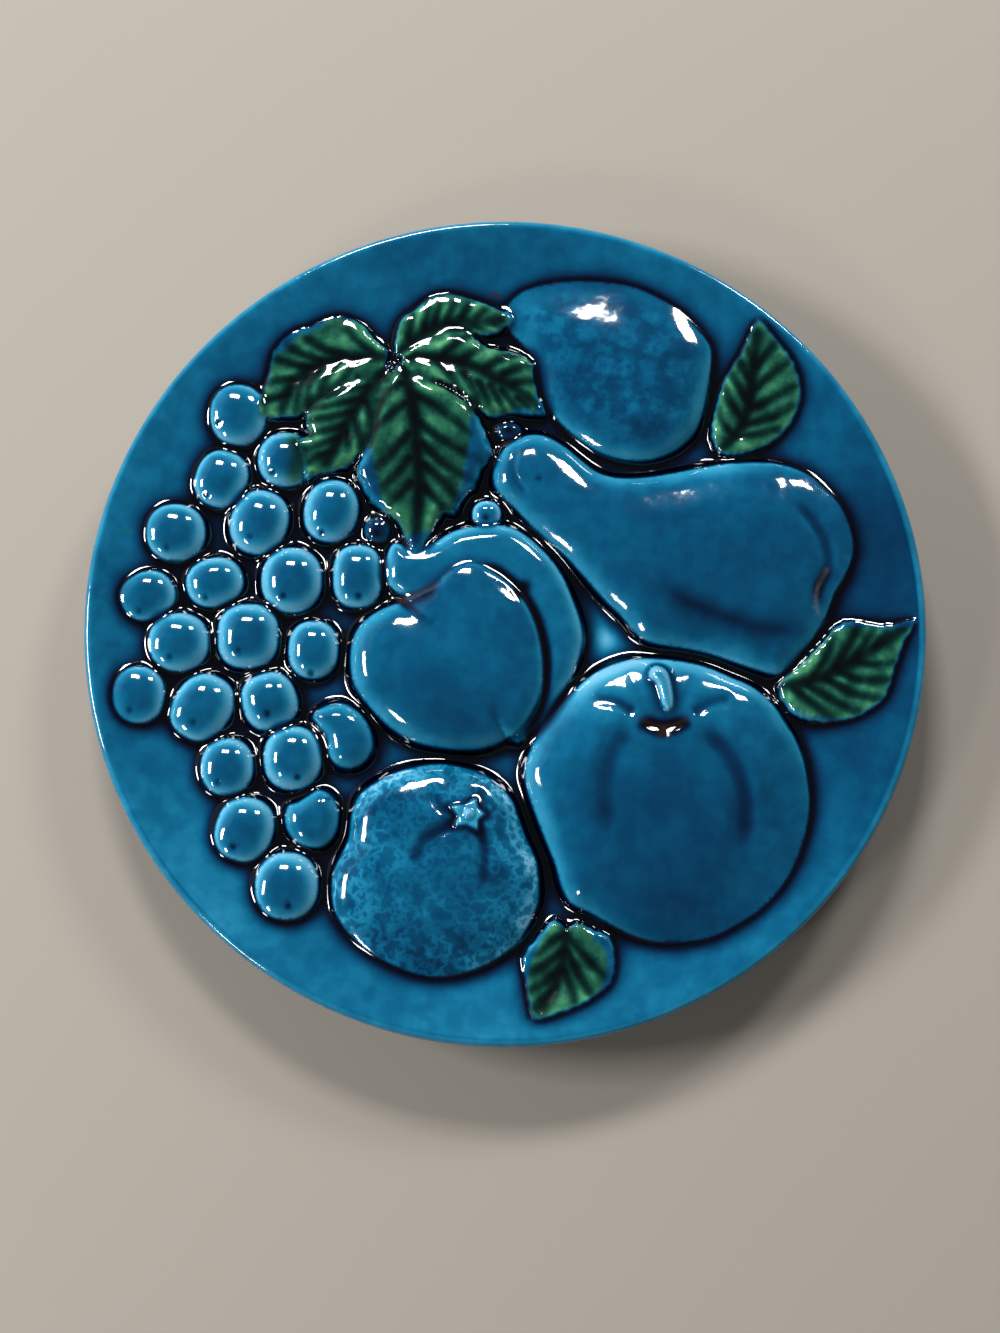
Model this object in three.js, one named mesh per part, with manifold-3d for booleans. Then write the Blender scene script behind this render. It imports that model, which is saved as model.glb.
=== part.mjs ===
// A round ceramic wall plate with fruit and leaves moulded in relief.
//
// The relief is drawn in the plane of the plate: x runs right, y runs up, and z runs
// from the wall out into the room, with the plate's centre at x = 0, y = 0 and the wall
// at z = 0. The finished solid is then stood up, so that the face looks along -Y, the
// back rests against the wall at y = 0, and the origin is the hanging point.
// All sizes are in millimetres.

import * as THREE from 'three';
import { mergeVertices } from 'three/addons/utils/BufferGeometryUtils.js';
import Module from 'manifold-3d';

const wasm = await Module();
wasm.setup();

// Driving sizes.
const RIM_RADIUS = 130;            // widest line of the rim
const RIM_STAND = 20;              // that line's distance from the wall
const RIM_CREST = 21.6;            // top of the rolled lip
const LIP_INSIDE = 126.4;          // where the lip turns down into the band
const FLOOR_RADIUS = 92;           // where the flat floor starts to rise
const FLOOR_STAND = 13;            // the floor's distance from the wall
const BAND_CURVE = 1.9;            // how late the band climbs to the lip
const FOOT_OUTSIDE = 78;           // foot ring that touches the wall
const FOOT_INSIDE = 72;
const RECESS_DEPTH = 7;            // hollow inside the foot ring
const HANG_RADIUS = 75;            // middle of the foot ring's ground face
const WIRE_HOLE_RADIUS = 1.5;
const WIRE_HOLE_STAND = 2.8;
const WIRE_HOLE_ASIDE = 12;        // each hole's distance from the middle
const ROUND_STEPS = 64;            // facets round the plate
const ROOT_DEPTH = 2.8;            // how deep the mounds root into the plate's 6 mm wall
const GLAZE_ROLL = 1.1;            // the moulded foot reaches this far past a drawn outline

// Small helpers.
const clamp = (value, low, high) => Math.min(high, Math.max(low, value));

// The plate's own face at a point, without any fruit on it.
function groundAt(x, y) {
  const rise = clamp((Math.hypot(x, y) - FLOOR_RADIUS) / (LIP_INSIDE - FLOOR_RADIUS), 0, 1);
  return FLOOR_STAND + (RIM_CREST - 0.3 - FLOOR_STAND) * rise ** BAND_CURVE;
}

function distanceToSegment(x, y, [ax, ay], [bx, by]) {
  const along = clamp(((x - ax) * (bx - ax) + (y - ay) * (by - ay))
    / ((bx - ax) ** 2 + (by - ay) ** 2), 0, 1);
  return Math.hypot(x - ax - along * (bx - ax), y - ay - along * (by - ay));
}

function distanceToPath(x, y, path, closed = false) {
  let nearest = Infinity;
  const last = closed ? path.length : path.length - 1;
  for (let i = 0; i < last; i += 1) {
    nearest = Math.min(nearest, distanceToSegment(x, y, path[i], path[(i + 1) % path.length]));
  }
  return nearest;
}

// Makes a closed geometry into a solid that can be joined and cut. Corners that meet are
// merged, and a triangle that shrinks to nothing on the plate's axis is dropped.
function solidOf(geometry) {
  geometry.deleteAttribute('normal');
  geometry.deleteAttribute('uv');
  const merged = mergeVertices(geometry);
  const corners = merged.index.array;
  const kept = [];
  for (let i = 0; i < corners.length; i += 3) {
    const [a, b, c] = corners.slice(i, i + 3);
    if (a !== b && b !== c && c !== a) kept.push(a, b, c);
  }
  return new wasm.Manifold(new wasm.Mesh({
    numProp: 3,
    vertProperties: new Float32Array(merged.attributes.position.array),
    triVerts: new Uint32Array(kept),
  }));
}

// A raised mound. The outline runs anticlockwise and is seen whole from the centre. Its
// face is a stack of rings drawn in towards the centre, each point set by standAt.
function mound(outline, [cx, cy], rings, standAt) {
  const points = [];
  const triangles = [];
  const count = outline.length;
  for (const ring of rings) {
    for (const [x, y] of outline) {
      const px = cx + (x - cx) * ring;
      const py = cy + (y - cy) * ring;
      points.push([px, py, standAt(px, py, ring)]);
    }
  }
  const crown = points.push([cx, cy, standAt(cx, cy, 0)]) - 1;
  const foot = points.length;
  for (const [x, y] of outline) {
    points.push([x, y, groundAt(x, y) - ROOT_DEPTH]);
  }
  const sole = points.push([cx, cy, groundAt(cx, cy) - ROOT_DEPTH]) - 1;
  const inner = (rings.length - 1) * count;
  for (let i = 0; i < count; i += 1) {
    const j = (i + 1) % count;
    for (let ring = 0; ring < rings.length - 1; ring += 1) {
      const a = ring * count;
      const b = a + count;
      triangles.push([a + i, a + j, b + j], [a + i, b + j, b + i]);
    }
    triangles.push([inner + i, inner + j, crown]);
    triangles.push([foot + i, foot + j, j], [foot + i, j, i]);
    triangles.push([sole, foot + j, foot + i]);
  }
  const geometry = new THREE.BufferGeometry();
  geometry.setAttribute('position', new THREE.Float32BufferAttribute(points.flat(), 3));
  geometry.setIndex(triangles.flat());
  return solidOf(geometry);
}

// Moves every outline point away from the centre, to where the moulded foot starts.
function grown(outline, [cx, cy], amount = GLAZE_ROLL) {
  return outline.map(([x, y]) => {
    const reach = Math.hypot(x - cx, y - cy);
    return [x + ((x - cx) * amount) / reach, y + ((y - cy) * amount) / reach];
  });
}

// Fruit and leaves.
const FRUIT_RINGS = [1, 0.97, 0.9, 0.76, 0.56, 0.3];
const GRAPE_RINGS = [1, 0.88, 0.52];
const LEAF_RINGS = [1, 0.92, 0.72, 0.38];

// A fruit's face rises steeply from its outline and levels off after `shoulder` mm. Each
// furrow is a path pressed in by `depth`, as wide as `spread`.
function fruit({ outline, centre, crown, shoulder, furrows = [], rings = FRUIT_RINGS }) {
  const edge = grown(outline, centre);
  return mound(edge, centre, rings, (x, y, ring) => {
    const ground = groundAt(x, y);
    if (ring === 1) return ground - 1.2;
    const reach = clamp(distanceToPath(x, y, edge, true) / shoulder, 0, 1);
    const swell = Math.sqrt(1 - (1 - reach) ** 2);
    let pressed = 0;
    for (const { path, depth, spread } of furrows) {
      pressed = Math.max(pressed, depth * Math.exp(-((distanceToPath(x, y, path) / spread) ** 2)));
    }
    const height = crown - FLOOR_STAND - 0.5 * (ground - FLOOR_STAND);
    return ground + height * swell - pressed;
  });
}

// A grape: an egg-shaped dome. Its long side leans `lean` degrees, anticlockwise.
function grape([x, y, wide, high, lean], sides = 12) {
  const turn = THREE.MathUtils.degToRad(lean);
  const outline = [];
  for (let i = 0; i < sides; i += 1) {
    const angle = (2 * Math.PI * i) / sides;
    const across = (wide / 2 + GLAZE_ROLL) * Math.cos(angle);
    const up = (high / 2 + GLAZE_ROLL) * Math.sin(angle);
    outline.push([
      x + across * Math.cos(turn) - up * Math.sin(turn),
      y + across * Math.sin(turn) + up * Math.cos(turn),
    ]);
  }
  const height = 1.8 + 0.32 * Math.min(wide, high);
  return mound(outline, [x, y], GRAPE_RINGS, (px, py, ring) => (
    groundAt(px, py) - 1.2 + height * Math.sqrt(Math.max(0, 1 - ring ** 2.4))
  ));
}

// A leaf blade: two swollen halves with the midrib sunk between them.
function blade({ outline, centre, midrib, crown, sunk }) {
  const edge = grown(outline, centre, 0.6);
  return mound(edge, centre, LEAF_RINGS, (x, y, ring) => {
    const ground = groundAt(x, y);
    if (ring === 1) return ground - 0.8;
    const reach = clamp(distanceToPath(x, y, edge, true) / 5, 0, 1);
    const rib = Math.exp(-((distanceToPath(x, y, midrib) / 3) ** 2));
    const height = crown - FLOOR_STAND - 0.6 * (ground - FLOOR_STAND);
    return ground + height * Math.sqrt(1 - (1 - reach) ** 2) - sunk * rib;
  });
}

const GRAPES = [
  [-84, 66.5, 18, 20, 0], [-69, 52.5, 18, 18, 0], [-89, 46, 16.5, 19, -20],
  [-77, 32.3, 18.5, 21.5, -15], [-54.5, 36, 17.5, 21, -10], [-102.7, 28.5, 18.5, 18.5, 0],
  [-90.5, 13, 18.5, 16, 15], [-66.5, 13.7, 19.5, 21.5, 0], [-46, 15, 16, 21, 0],
  [-110.8, 8.3, 17.5, 15.5, 30], [-101, -6.2, 19, 19, 0], [-79.8, -4, 19.5, 21, 0],
  [-59.5, -8.3, 16, 19, 0], [-112.6, -23, 16, 18.5, 0], [-93.3, -26.5, 18.5, 22, -30],
  [-72.8, -24.5, 17.5, 18.5, 0], [-50, -35.4, 15.5, 21.5, 30], [-85.3, -45, 16.5, 18.5, 0],
  [-65.3, -42.2, 18.5, 20.5, 0], [-79.5, -64.3, 18, 20.5, -15], [-59.2, -61, 16.5, 18.2, 0],
  [-66.3, -81.6, 19.5, 21.3, 0],
];
const BERRIES = [[-40, 30, 8.5, 8.5, 0], [-5.8, 35, 9.5, 9, 0], [1, 62, 9, 6, 0]];

const LEMON = {
  outline: [
    [65.5, 86], [64, 91], [60, 96], [55, 101], [48, 105.5], [40, 109], [30, 110.7], [20, 111],
    [10, 109.5], [4, 107], [0, 102], [1, 95.5], [5, 91], [8.5, 86], [10.5, 78], [12.5, 71],
    [18, 64], [24, 58.7], [30, 54.8], [36, 52.8], [43, 52], [50, 53.5], [56, 56.8], [61, 63],
    [64, 74],
  ],
  centre: [35, 82],
  crown: 22.6,
  shoulder: 27,
};

const PEAR = {
  outline: [
    [108.5, 22], [108, 29], [105, 37], [100, 43], [94, 48], [86, 51], [78, 51.7], [69, 51.3],
    [60, 49.7], [50, 47.8], [42, 46.7], [35, 46.8], [29, 48.6], [24, 52.5], [19, 56.7],
    [13, 60.2], [7, 60.6], [1, 57.5], [-2.6, 53], [-4, 47.5], [-2.5, 42], [3, 36.5], [8, 31],
    [13, 26], [19, 20.8], [25, 14], [31, 7], [36, 2], [40, -3], [45, -6.3], [54, -7.9],
    [62, -9.5], [70, -12.2], [78, -15], [84, -16.4], [88, -14], [92, -9.5], [96, -4.5],
    [99.5, 1.5], [102.5, 9], [106, 15],
  ],
  centre: [50, 20],
  crown: 23.6,
  shoulder: 24,
  furrows: [
    { path: [[46, 12], [52, 8], [60, 4], [70, 0], [78, -2.5], [88, -2.8], [97, 0.5]],
      depth: 2.6, spread: 2.6 },
    { path: [[102.5, 17], [99.5, 12], [98.5, 6], [97.5, 1.5]], depth: 4.5, spread: 2.2 },
    { path: [[5, 54], [3.5, 49], [5, 43.5], [10, 39]], depth: 1.8, spread: 2 },
  ],
};

const PEACH_BACK = {
  outline: [
    [24, -7], [23.6, 0], [21, 8], [18, 15], [14, 21], [8, 27], [1, 31], [-8, 31.2], [-16, 29.5],
    [-24, 25], [-30, 24.5], [-35, 25.5], [-37.4, 20], [-37, 13], [-32, 8], [-22, 0], [-8, -16],
    [6, -32], [10, -32], [16, -24], [21, -17],
  ],
  centre: [-2, 2],
  crown: 20,
  shoulder: 9,
};

const PEACH_FRONT = {
  outline: [
    [11.5, -16], [11, -9], [9.5, -2], [7, 4], [3.5, 9], [-1, 13.2], [-6, 16], [-11, 17.4],
    [-16, 16.7], [-20, 14], [-22.5, 9], [-26.5, 5.2], [-31, 4.8], [-36, 5.6], [-41, 3.6],
    [-45.5, 0.5], [-47.8, -6], [-48, -14], [-46.4, -20.5], [-42.5, -26], [-37, -31.8],
    [-30, -36.5], [-22, -39], [-12, -40], [-4, -38.8], [3, -34.8], [8, -29], [10.6, -22.5],
  ],
  centre: [-18, -12],
  crown: 23.6,
  shoulder: 20,
  furrows: [{ path: [[-28, 10], [-25, 2], [-20, -1]], depth: 3, spread: 5 }],
};

const APPLE = {
  outline: [
    [93, -54], [92, -45], [90, -38], [87, -32], [83, -25.8], [77, -20.3], [70, -17],
    [62, -13.6], [54, -11.8], [46, -11], [39, -11.3], [32, -13.4], [26, -16.8], [20, -22],
    [14, -29], [10, -34], [7.4, -40], [5.8, -46], [6.5, -52], [8.8, -59], [12, -67.5],
    [15, -75], [17, -82], [20, -87], [26, -90], [33, -94], [40, -97.2], [48, -98.9],
    [56, -98.5], [63, -97], [70, -93.5], [77, -89], [83, -83], [87.5, -76], [90.8, -68],
    [92.6, -60.5],
  ],
  centre: [50, -50],
  crown: 24,
  shoulder: 24,
  furrows: [
    { path: [[41, -31], [56, -31]], depth: 7, spread: 4.2 },
    { path: [[41, -32], [36, -36], [32, -43], [30, -52], [30.5, -62], [32, -69]],
      depth: 2, spread: 3.2 },
    { path: [[56, -33], [62, -36], [67.5, -41.5], [71.5, -49], [73, -57], [72, -67], [69, -75]],
      depth: 2.6, spread: 2.8 },
    { path: [[40, -29], [34, -23.5], [26, -21.5]], depth: 1.5, spread: 2.6 },
    { path: [[56, -28], [62, -23.5], [70, -20.5]], depth: 1.2, spread: 2.6 },
  ],
};

const APPLE_STALK = {
  outline: [
    [51.2, -24], [50.6, -19.5], [49.4, -16], [47, -14.4], [44.8, -15.4], [44.2, -18],
    [46, -19.8], [47, -23], [48, -26.5], [49.4, -28.6], [51, -27.5],
  ],
  centre: [48.4, -21],
  crown: 24.2,
  shoulder: 3,
  rings: [1, 0.7, 0.35],
};

const TANGERINE = {
  outline: [
    [10.4, -82], [9.6, -74], [6.5, -67], [4, -60], [2, -55], [-2.5, -50], [-8, -46.6],
    [-14, -44.9], [-20, -44], [-27, -44.8], [-34, -46.8], [-40, -49.8], [-45, -54],
    [-47.2, -60], [-48, -67], [-50.2, -72], [-52.6, -78], [-52.8, -85], [-51, -91],
    [-46.5, -97], [-41, -101.7], [-34, -105.6], [-26, -108.5], [-18, -109], [-10, -107.2],
    [-3, -104], [3, -99.6], [7.6, -93], [10, -87],
  ],
  centre: [-21, -77],
  crown: 23.8,
  shoulder: 22,
  furrows: [
    { path: [[-12, -60], [-18.5, -58.5], [-21.5, -54], [-21.5, -51]], depth: 3, spread: 2.6 },
    { path: [[-12, -60], [-8.5, -55], [-9, -52]], depth: 3, spread: 2.4 },
    { path: [[-12, -60], [-6, -60.5], [0, -61.5]], depth: 3, spread: 2.2 },
    { path: [[-12, -60], [-18, -64], [-24, -67.5], [-27, -73]], depth: 3, spread: 2.6 },
    { path: [[-12, -60], [-7.5, -66], [-6.3, -72], [-6.5, -79]], depth: 3, spread: 2.4 },
  ],
};

const VINE_BLADES = [
  {
    outline: [
      [2.3, 98.5], [-1.5, 101.6], [-9, 104.8], [-16, 106.9], [-21.5, 106.8], [-25.5, 104.8],
      [-29, 101.6], [-33, 98.8], [-34.7, 93.5], [-35, 87], [-31, 86], [-26, 89.5],
      [-20, 92.3], [-13, 93.6], [-7, 93], [-2, 94],
    ],
    centre: [-18, 99],
    midrib: [[-34, 87], [-27, 93], [-21, 96], [-14, 97.6], [-7, 97.2], [-1, 98]],
    crown: 19.5,
    sunk: 3,
  },
  {
    outline: [
      [9.2, 79], [9, 83.4], [6, 86.5], [0, 88.2], [-5, 89], [-9, 92], [-13, 94.3],
      [-19, 93.5], [-24, 90.8], [-32, 87], [-32, 83], [-26, 79], [-19, 76.6], [-13, 73],
      [-8.3, 67.8], [-3, 65.8], [3, 67.2], [13, 66.8], [11, 72],
    ],
    centre: [-7, 79.5],
    midrib: [[-33, 86], [-24, 85.6], [-16, 84.2], [-9, 82], [-4, 79], [1, 76.5], [6, 73],
      [11, 69]],
    crown: 20,
    sunk: 3.2,
  },
  {
    outline: [
      [-4.5, 57], [-7, 63.5], [-10, 69.5], [-14, 73], [-20, 76.5], [-28, 80], [-33, 84.5],
      [-36, 81], [-39, 75], [-41, 69], [-43, 58], [-47, 49], [-45, 43], [-42, 38.3],
      [-38.5, 35.3], [-34, 32], [-31, 26], [-27.8, 22.8], [-23.5, 27.2], [-19, 34.7],
      [-15.5, 34.2], [-12.8, 39.5], [-9.8, 42.3], [-7.2, 48.5], [-3.8, 53.5],
    ],
    centre: [-27, 55],
    midrib: [[-34, 86], [-31, 78], [-29.5, 72], [-28, 60], [-27, 48], [-27, 38], [-27.7, 26]],
    crown: 20.5,
    sunk: 4,
  },
  {
    outline: [
      [-42, 63], [-40.5, 70], [-38, 77], [-36, 84], [-42.5, 80.5], [-48, 78.5], [-54, 75.5],
      [-59, 72], [-62.5, 68.5], [-63, 64], [-62, 60], [-65, 57.6], [-63, 53], [-62.2, 45],
      [-58.5, 47.3], [-54, 48.3], [-49.5, 49.5], [-46, 52.5], [-43, 58],
    ],
    centre: [-52, 63],
    midrib: [[-35, 85], [-42, 76.5], [-46, 70], [-50, 63.5], [-53, 57], [-56, 51]],
    crown: 20,
    sunk: 3.4,
  },
  {
    outline: [
      [-38, 83.5], [-37, 88.3], [-41, 91.5], [-45.5, 97], [-52, 99.4], [-57, 98.2],
      [-62, 95.7], [-68, 93.4], [-73.6, 87.2], [-75, 80], [-77, 74], [-78, 66], [-70, 66],
      [-64.5, 66.5], [-61, 70.5], [-54, 75.5], [-48, 78.5], [-42.5, 80.5],
    ],
    centre: [-60, 83],
    midrib: [[-35, 86], [-45, 85.8], [-52, 85.2], [-58, 83.5], [-64, 80], [-68, 75],
      [-70, 68]],
    crown: 20,
    sunk: 3,
  },
];

const SMALL_LEAVES = [
  {
    outline: [
      [93.5, 73], [91, 83], [86, 90], [80, 97.3], [77, 91.5], [73.5, 85], [69.5, 79],
      [66, 68], [65, 59.5], [68, 54.6], [73, 54], [79, 55.5], [85, 58.6], [90.5, 64.5],
    ],
    centre: [79, 73],
    midrib: [[68, 56], [73, 61], [76, 67], [78, 75], [79, 85], [79.6, 92]],
    crown: 18.5,
    sunk: 3,
  },
  {
    outline: [
      [126.6, 0], [120, -1.2], [114, -0.6], [108, 0.8], [102.5, -1], [98, -6], [92, -12],
      [84, -20], [87.5, -28], [94, -31], [103, -31], [110, -29], [117, -23.8], [120, -15],
      [123, -7],
    ],
    centre: [105, -14],
    midrib: [[85, -20], [92, -19], [98, -17], [104, -14], [112, -9.6], [119, -5], [124, -1.5]],
    crown: 19,
    sunk: 2.4,
  },
  {
    outline: [
      [33.3, -103], [31.5, -96.6], [27, -94.8], [21.5, -92.4], [18.5, -94.5], [15, -91.4],
      [10, -96.5], [5.2, -103], [5.8, -109], [7, -116], [8.3, -122], [15, -120.4],
      [22, -117.8], [28, -114.2], [32, -110.5],
    ],
    centre: [19, -106],
    midrib: [[18.5, -94], [18, -100], [16.8, -106], [14.5, -113], [11, -118.5]],
    crown: 19,
    sunk: 2.6,
  },
];

// The leafy star where the tangerine left its stalk, with a round bud in its middle.
function calyxStar() {
  const points = [];
  const centre = [-12, -59.7];
  for (let i = 0; i < 10; i += 1) {
    const angle = THREE.MathUtils.degToRad(-5 + 36 * i);
    const reach = i % 2 ? 3 : 5.8;
    points.push([centre[0] + reach * Math.cos(angle), centre[1] + reach * Math.sin(angle)]);
  }
  return mound(points, centre, [1, 0.45, 0.3], (x, y, ring) => (
    ring === 1 ? 19.4 : 20.4 + 1.4 * (ring < 0.4)
  ));
}

// The plate.
function plateBody() {
  const profile = [
    [0, RECESS_DEPTH], [FOOT_INSIDE - 1.5, RECESS_DEPTH], [FOOT_INSIDE, RECESS_DEPTH - 1.5],
    [FOOT_INSIDE, 0], [FOOT_OUTSIDE, 0], [FOOT_OUTSIDE + 2, 4.8], [97, 7.2], [111, 10], [121, 14],
    [129, 18.6], [RIM_RADIUS, RIM_STAND], [128.8, RIM_CREST - 0.2],
    [LIP_INSIDE, RIM_CREST - 0.3],
  ];
  for (const radius of [121.5, 114, 104, FLOOR_RADIUS]) {
    profile.push([radius, groundAt(radius, 0)]);
  }
  profile.push([0, FLOOR_STAND]);
  const turned = new THREE.LatheGeometry(
    profile.map(([radius, stand]) => new THREE.Vector2(radius, stand)),
    ROUND_STEPS,
  );
  turned.rotateX(Math.PI / 2);
  return solidOf(turned);
}

function wireHole(aside) {
  const hole = new THREE.CylinderGeometry(WIRE_HOLE_RADIUS, WIRE_HOLE_RADIUS, 16, 12);
  hole.translate(aside, Math.sqrt(HANG_RADIUS ** 2 - aside ** 2), WIRE_HOLE_STAND);
  return solidOf(hole);
}

let plate = plateBody();
for (const shape of [LEMON, PEAR, PEACH_BACK, PEACH_FRONT, APPLE, APPLE_STALK, TANGERINE]) {
  plate = plate.add(fruit(shape));
}
for (const leaf of [...VINE_BLADES, ...SMALL_LEAVES]) {
  plate = plate.add(blade(leaf));
}
for (const size of GRAPES) {
  plate = plate.add(grape(size));
}
for (const size of BERRIES) {
  plate = plate.add(grape(size, 8));
}
plate = plate.add(calyxStar());
for (const aside of [-WIRE_HOLE_ASIDE, WIRE_HOLE_ASIDE]) {
  plate = plate.subtract(wireHole(aside));
}

// Stand the plate up, with the hanging point at the origin.
const finished = plate.getMesh();
const geometry = new THREE.BufferGeometry();
geometry.setAttribute('position', new THREE.Float32BufferAttribute(finished.vertProperties, 3));
geometry.setIndex([...finished.triVerts]);
geometry.rotateX(Math.PI / 2);
geometry.translate(0, 0, -HANG_RADIUS);
geometry.computeVertexNormals();

const glaze = new THREE.MeshStandardMaterial({ color: 0x0f6f9a, roughness: 0.15, metalness: 0 });
const mesh = new THREE.Mesh(geometry, glaze);
mesh.name = 'plate';

const part = new THREE.Group();
part.name = 'fruit_relief_wall_plate';
part.add(mesh);

export default part;
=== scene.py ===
"""Looks of the fruit relief wall plate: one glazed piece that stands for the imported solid.

The relief is drawn in the plate's own plane, in millimetres: x runs right, y runs up, and
a point's stand is its distance from the wall. In the row frame that point is at X = x,
Y = -stand, Z = y - 75, because the origin is the hanging point on the foot ring.
"""

import logging
import math
from dataclasses import dataclass, field
from enum import Enum

import bmesh
import bpy
import numpy as np
from mathutils import Matrix, Vector
from mathutils.geometry import delaunay_2d_cdt


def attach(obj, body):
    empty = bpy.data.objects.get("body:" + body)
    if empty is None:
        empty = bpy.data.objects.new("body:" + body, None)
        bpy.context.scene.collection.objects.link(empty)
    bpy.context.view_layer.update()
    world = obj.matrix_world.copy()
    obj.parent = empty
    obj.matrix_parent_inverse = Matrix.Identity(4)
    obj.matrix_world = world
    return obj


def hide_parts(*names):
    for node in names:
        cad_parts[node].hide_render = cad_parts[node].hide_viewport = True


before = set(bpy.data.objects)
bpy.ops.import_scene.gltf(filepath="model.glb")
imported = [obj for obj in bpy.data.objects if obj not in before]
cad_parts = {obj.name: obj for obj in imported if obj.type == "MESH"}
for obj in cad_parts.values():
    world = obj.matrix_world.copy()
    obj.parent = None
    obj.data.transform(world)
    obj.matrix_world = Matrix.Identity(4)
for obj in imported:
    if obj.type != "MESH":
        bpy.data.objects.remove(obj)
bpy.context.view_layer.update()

LOG = logging.getLogger("wall_plate")
# One millimetre, in metres.
MM = 0.001
# How far the hanging point is above the plate's middle, in mm.
HANG_RADIUS = 75.0
Point = tuple[float, float]
Path = list[Point]
Span = tuple[float, float]
Triple = tuple[float, float, float]
Colour = tuple[float, float, float, float]
Faces = list[tuple[int, ...]]
Window = tuple[slice, slice]
Socket = bpy.types.NodeSocket

# Where a mound's own glaze starts, counted inwards from its drawn edge.
COLOUR_EDGE: Span = (-0.3, 0.3)
# How far a mound's surface is sunk outside its foot, so that it can't show there.
OUTSIDE_DROP = 3.0


def smoothstep(low: float, high: float, value: np.ndarray) -> np.ndarray:
    """Eases from 0 to 1.

    Args:
        low: where the step starts.
        high: where it ends.
        value: the values to ease.

    Returns:
        An array of the same shape.
    """
    t = np.clip((value - low) / (high - low), 0, 1)
    return t * t * (3 - 2 * t)


def bell(gap: np.ndarray, spread: float) -> np.ndarray:
    """A bell curve, which is 1 where the gap is 0 and fades as the gap passes the spread."""
    return np.exp(-((gap / spread) ** 2))


def dome(reach: np.ndarray) -> np.ndarray:
    """A quarter circle, which climbs from 0 to 1 as the reach does."""
    return np.sqrt(1 - (1 - np.clip(reach, 0, 1)) ** 2)


def soft_max(a: np.ndarray, b: np.ndarray, blend: float) -> np.ndarray:
    """The higher of two surfaces, with a fillet where they meet.

    Args:
        a: one surface.
        b: the other surface.
        blend: height difference over which the fillet reaches, in mm.

    Returns:
        The joined surface.
    """
    near = np.maximum(blend - np.abs(a - b), 0) / blend
    return np.maximum(a, b) + near * near * blend / 4


def unsteady(x: np.ndarray, y: np.ndarray) -> np.ndarray:
    """How far a hand-drawn edge strays at each cell, from -1 to 1."""
    return np.sin(2.3 * x + 1.1 * y) * np.sin(1.9 * y - 1.3 * x + 2 * np.sin(0.7 * x))


def curve_through(points: Path, closed: bool, parts: int = 4) -> np.ndarray:
    """A smooth line through the points, as a Catmull-Rom spline.

    Args:
        points: the points on the line.
        closed: whether the line comes back to its start.
        parts: straight pieces between two points.

    Returns:
        The points of the smooth line, one a row.
    """
    p = np.array(points, float)
    if closed:
        p = np.vstack([p[-1:], p, p[:2]])
    else:
        p = np.vstack([2 * p[:1] - p[1:2], p, 2 * p[-1:] - p[-2:-1]])
    t = (np.arange(parts) / parts)[:, None]
    spans = []
    for a, b, c, d in zip(p, p[1:], p[2:], p[3:]):
        spans.append(
            0.5 * (2 * b + (c - a) * t + (2 * a - 5 * b + 4 * c - d) * t**2
                   + (3 * b - a - 3 * c + d) * t**3)
        )
    line = np.vstack(spans)
    return line if closed else np.vstack([line, p[-2:-1]])


@dataclass
class Raster:
    """A square grid over the plate's face, on which the relief is worked out.

    Attributes:
        size: cells along each side.
        step: distance between two cells, in mm.
    """

    size: int = 1050
    step: float = 0.25

    def __post_init__(self) -> None:
        """Lays out the grid's lines and the frequencies that blurring needs."""
        self.axis = (np.arange(self.size) - (self.size - 1) / 2) * self.step
        self.x, self.y = np.meshgrid(self.axis, self.axis)
        down = np.fft.fftfreq(self.size, self.step)[:, None]
        across = np.fft.rfftfreq(self.size, self.step)[None, :]
        self.frequency = 2 * math.pi**2 * (down**2 + across**2)

    def blur(self, values: np.ndarray, spread: float) -> np.ndarray:
        """Values blurred by a Gaussian.

        Args:
            values: one value a cell.
            spread: the Gaussian's standard deviation, in mm.

        Returns:
            The blurred values.
        """
        spectrum = np.fft.rfft2(values) * np.exp(-self.frequency * spread**2)
        return np.fft.irfft2(spectrum, s=values.shape)

    def around(
        self, points: np.ndarray, margin: float
    ) -> tuple[Window, np.ndarray, np.ndarray]:
        """The part of the grid around some points.

        Args:
            points: the points, one a row.
            margin: how far the part reaches past them, in mm.

        Returns:
            The part's rows and columns, which pick it out of any of the grid's arrays,
            and its cells' x and y.
        """
        low = np.floor((points.min(0) - margin - self.axis[0]) / self.step).astype(int)
        high = np.ceil((points.max(0) + margin - self.axis[0]) / self.step).astype(int)
        low, high = np.clip(low, 0, self.size), np.clip(high, 0, self.size)
        here = (slice(low[1], high[1]), slice(low[0], high[0]))
        return here, self.x[here], self.y[here]

    def slope(self, values: np.ndarray) -> tuple[np.ndarray, np.ndarray]:
        """How fast the values change along x and along y."""
        along_y, along_x = np.gradient(values, self.step)
        return along_x, along_y

    def at(self, values: np.ndarray, points: np.ndarray) -> np.ndarray:
        """Values read between the grid's cells.

        Args:
            values: one value a cell.
            points: where to read, one point a row.

        Returns:
            One value a point.
        """
        last_place = self.size - 1.001
        place = np.clip((points - self.axis[0]) / self.step, 0, last_place)
        corner = place.astype(int)
        part = place - corner
        i, j = corner[:, 1], corner[:, 0]
        v, u = part[:, 1], part[:, 0]
        low = values[i, j] * (1 - u) + values[i, j + 1] * u
        high = values[i + 1, j] * (1 - u) + values[i + 1, j + 1] * u
        return low * (1 - v) + high * v


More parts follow.
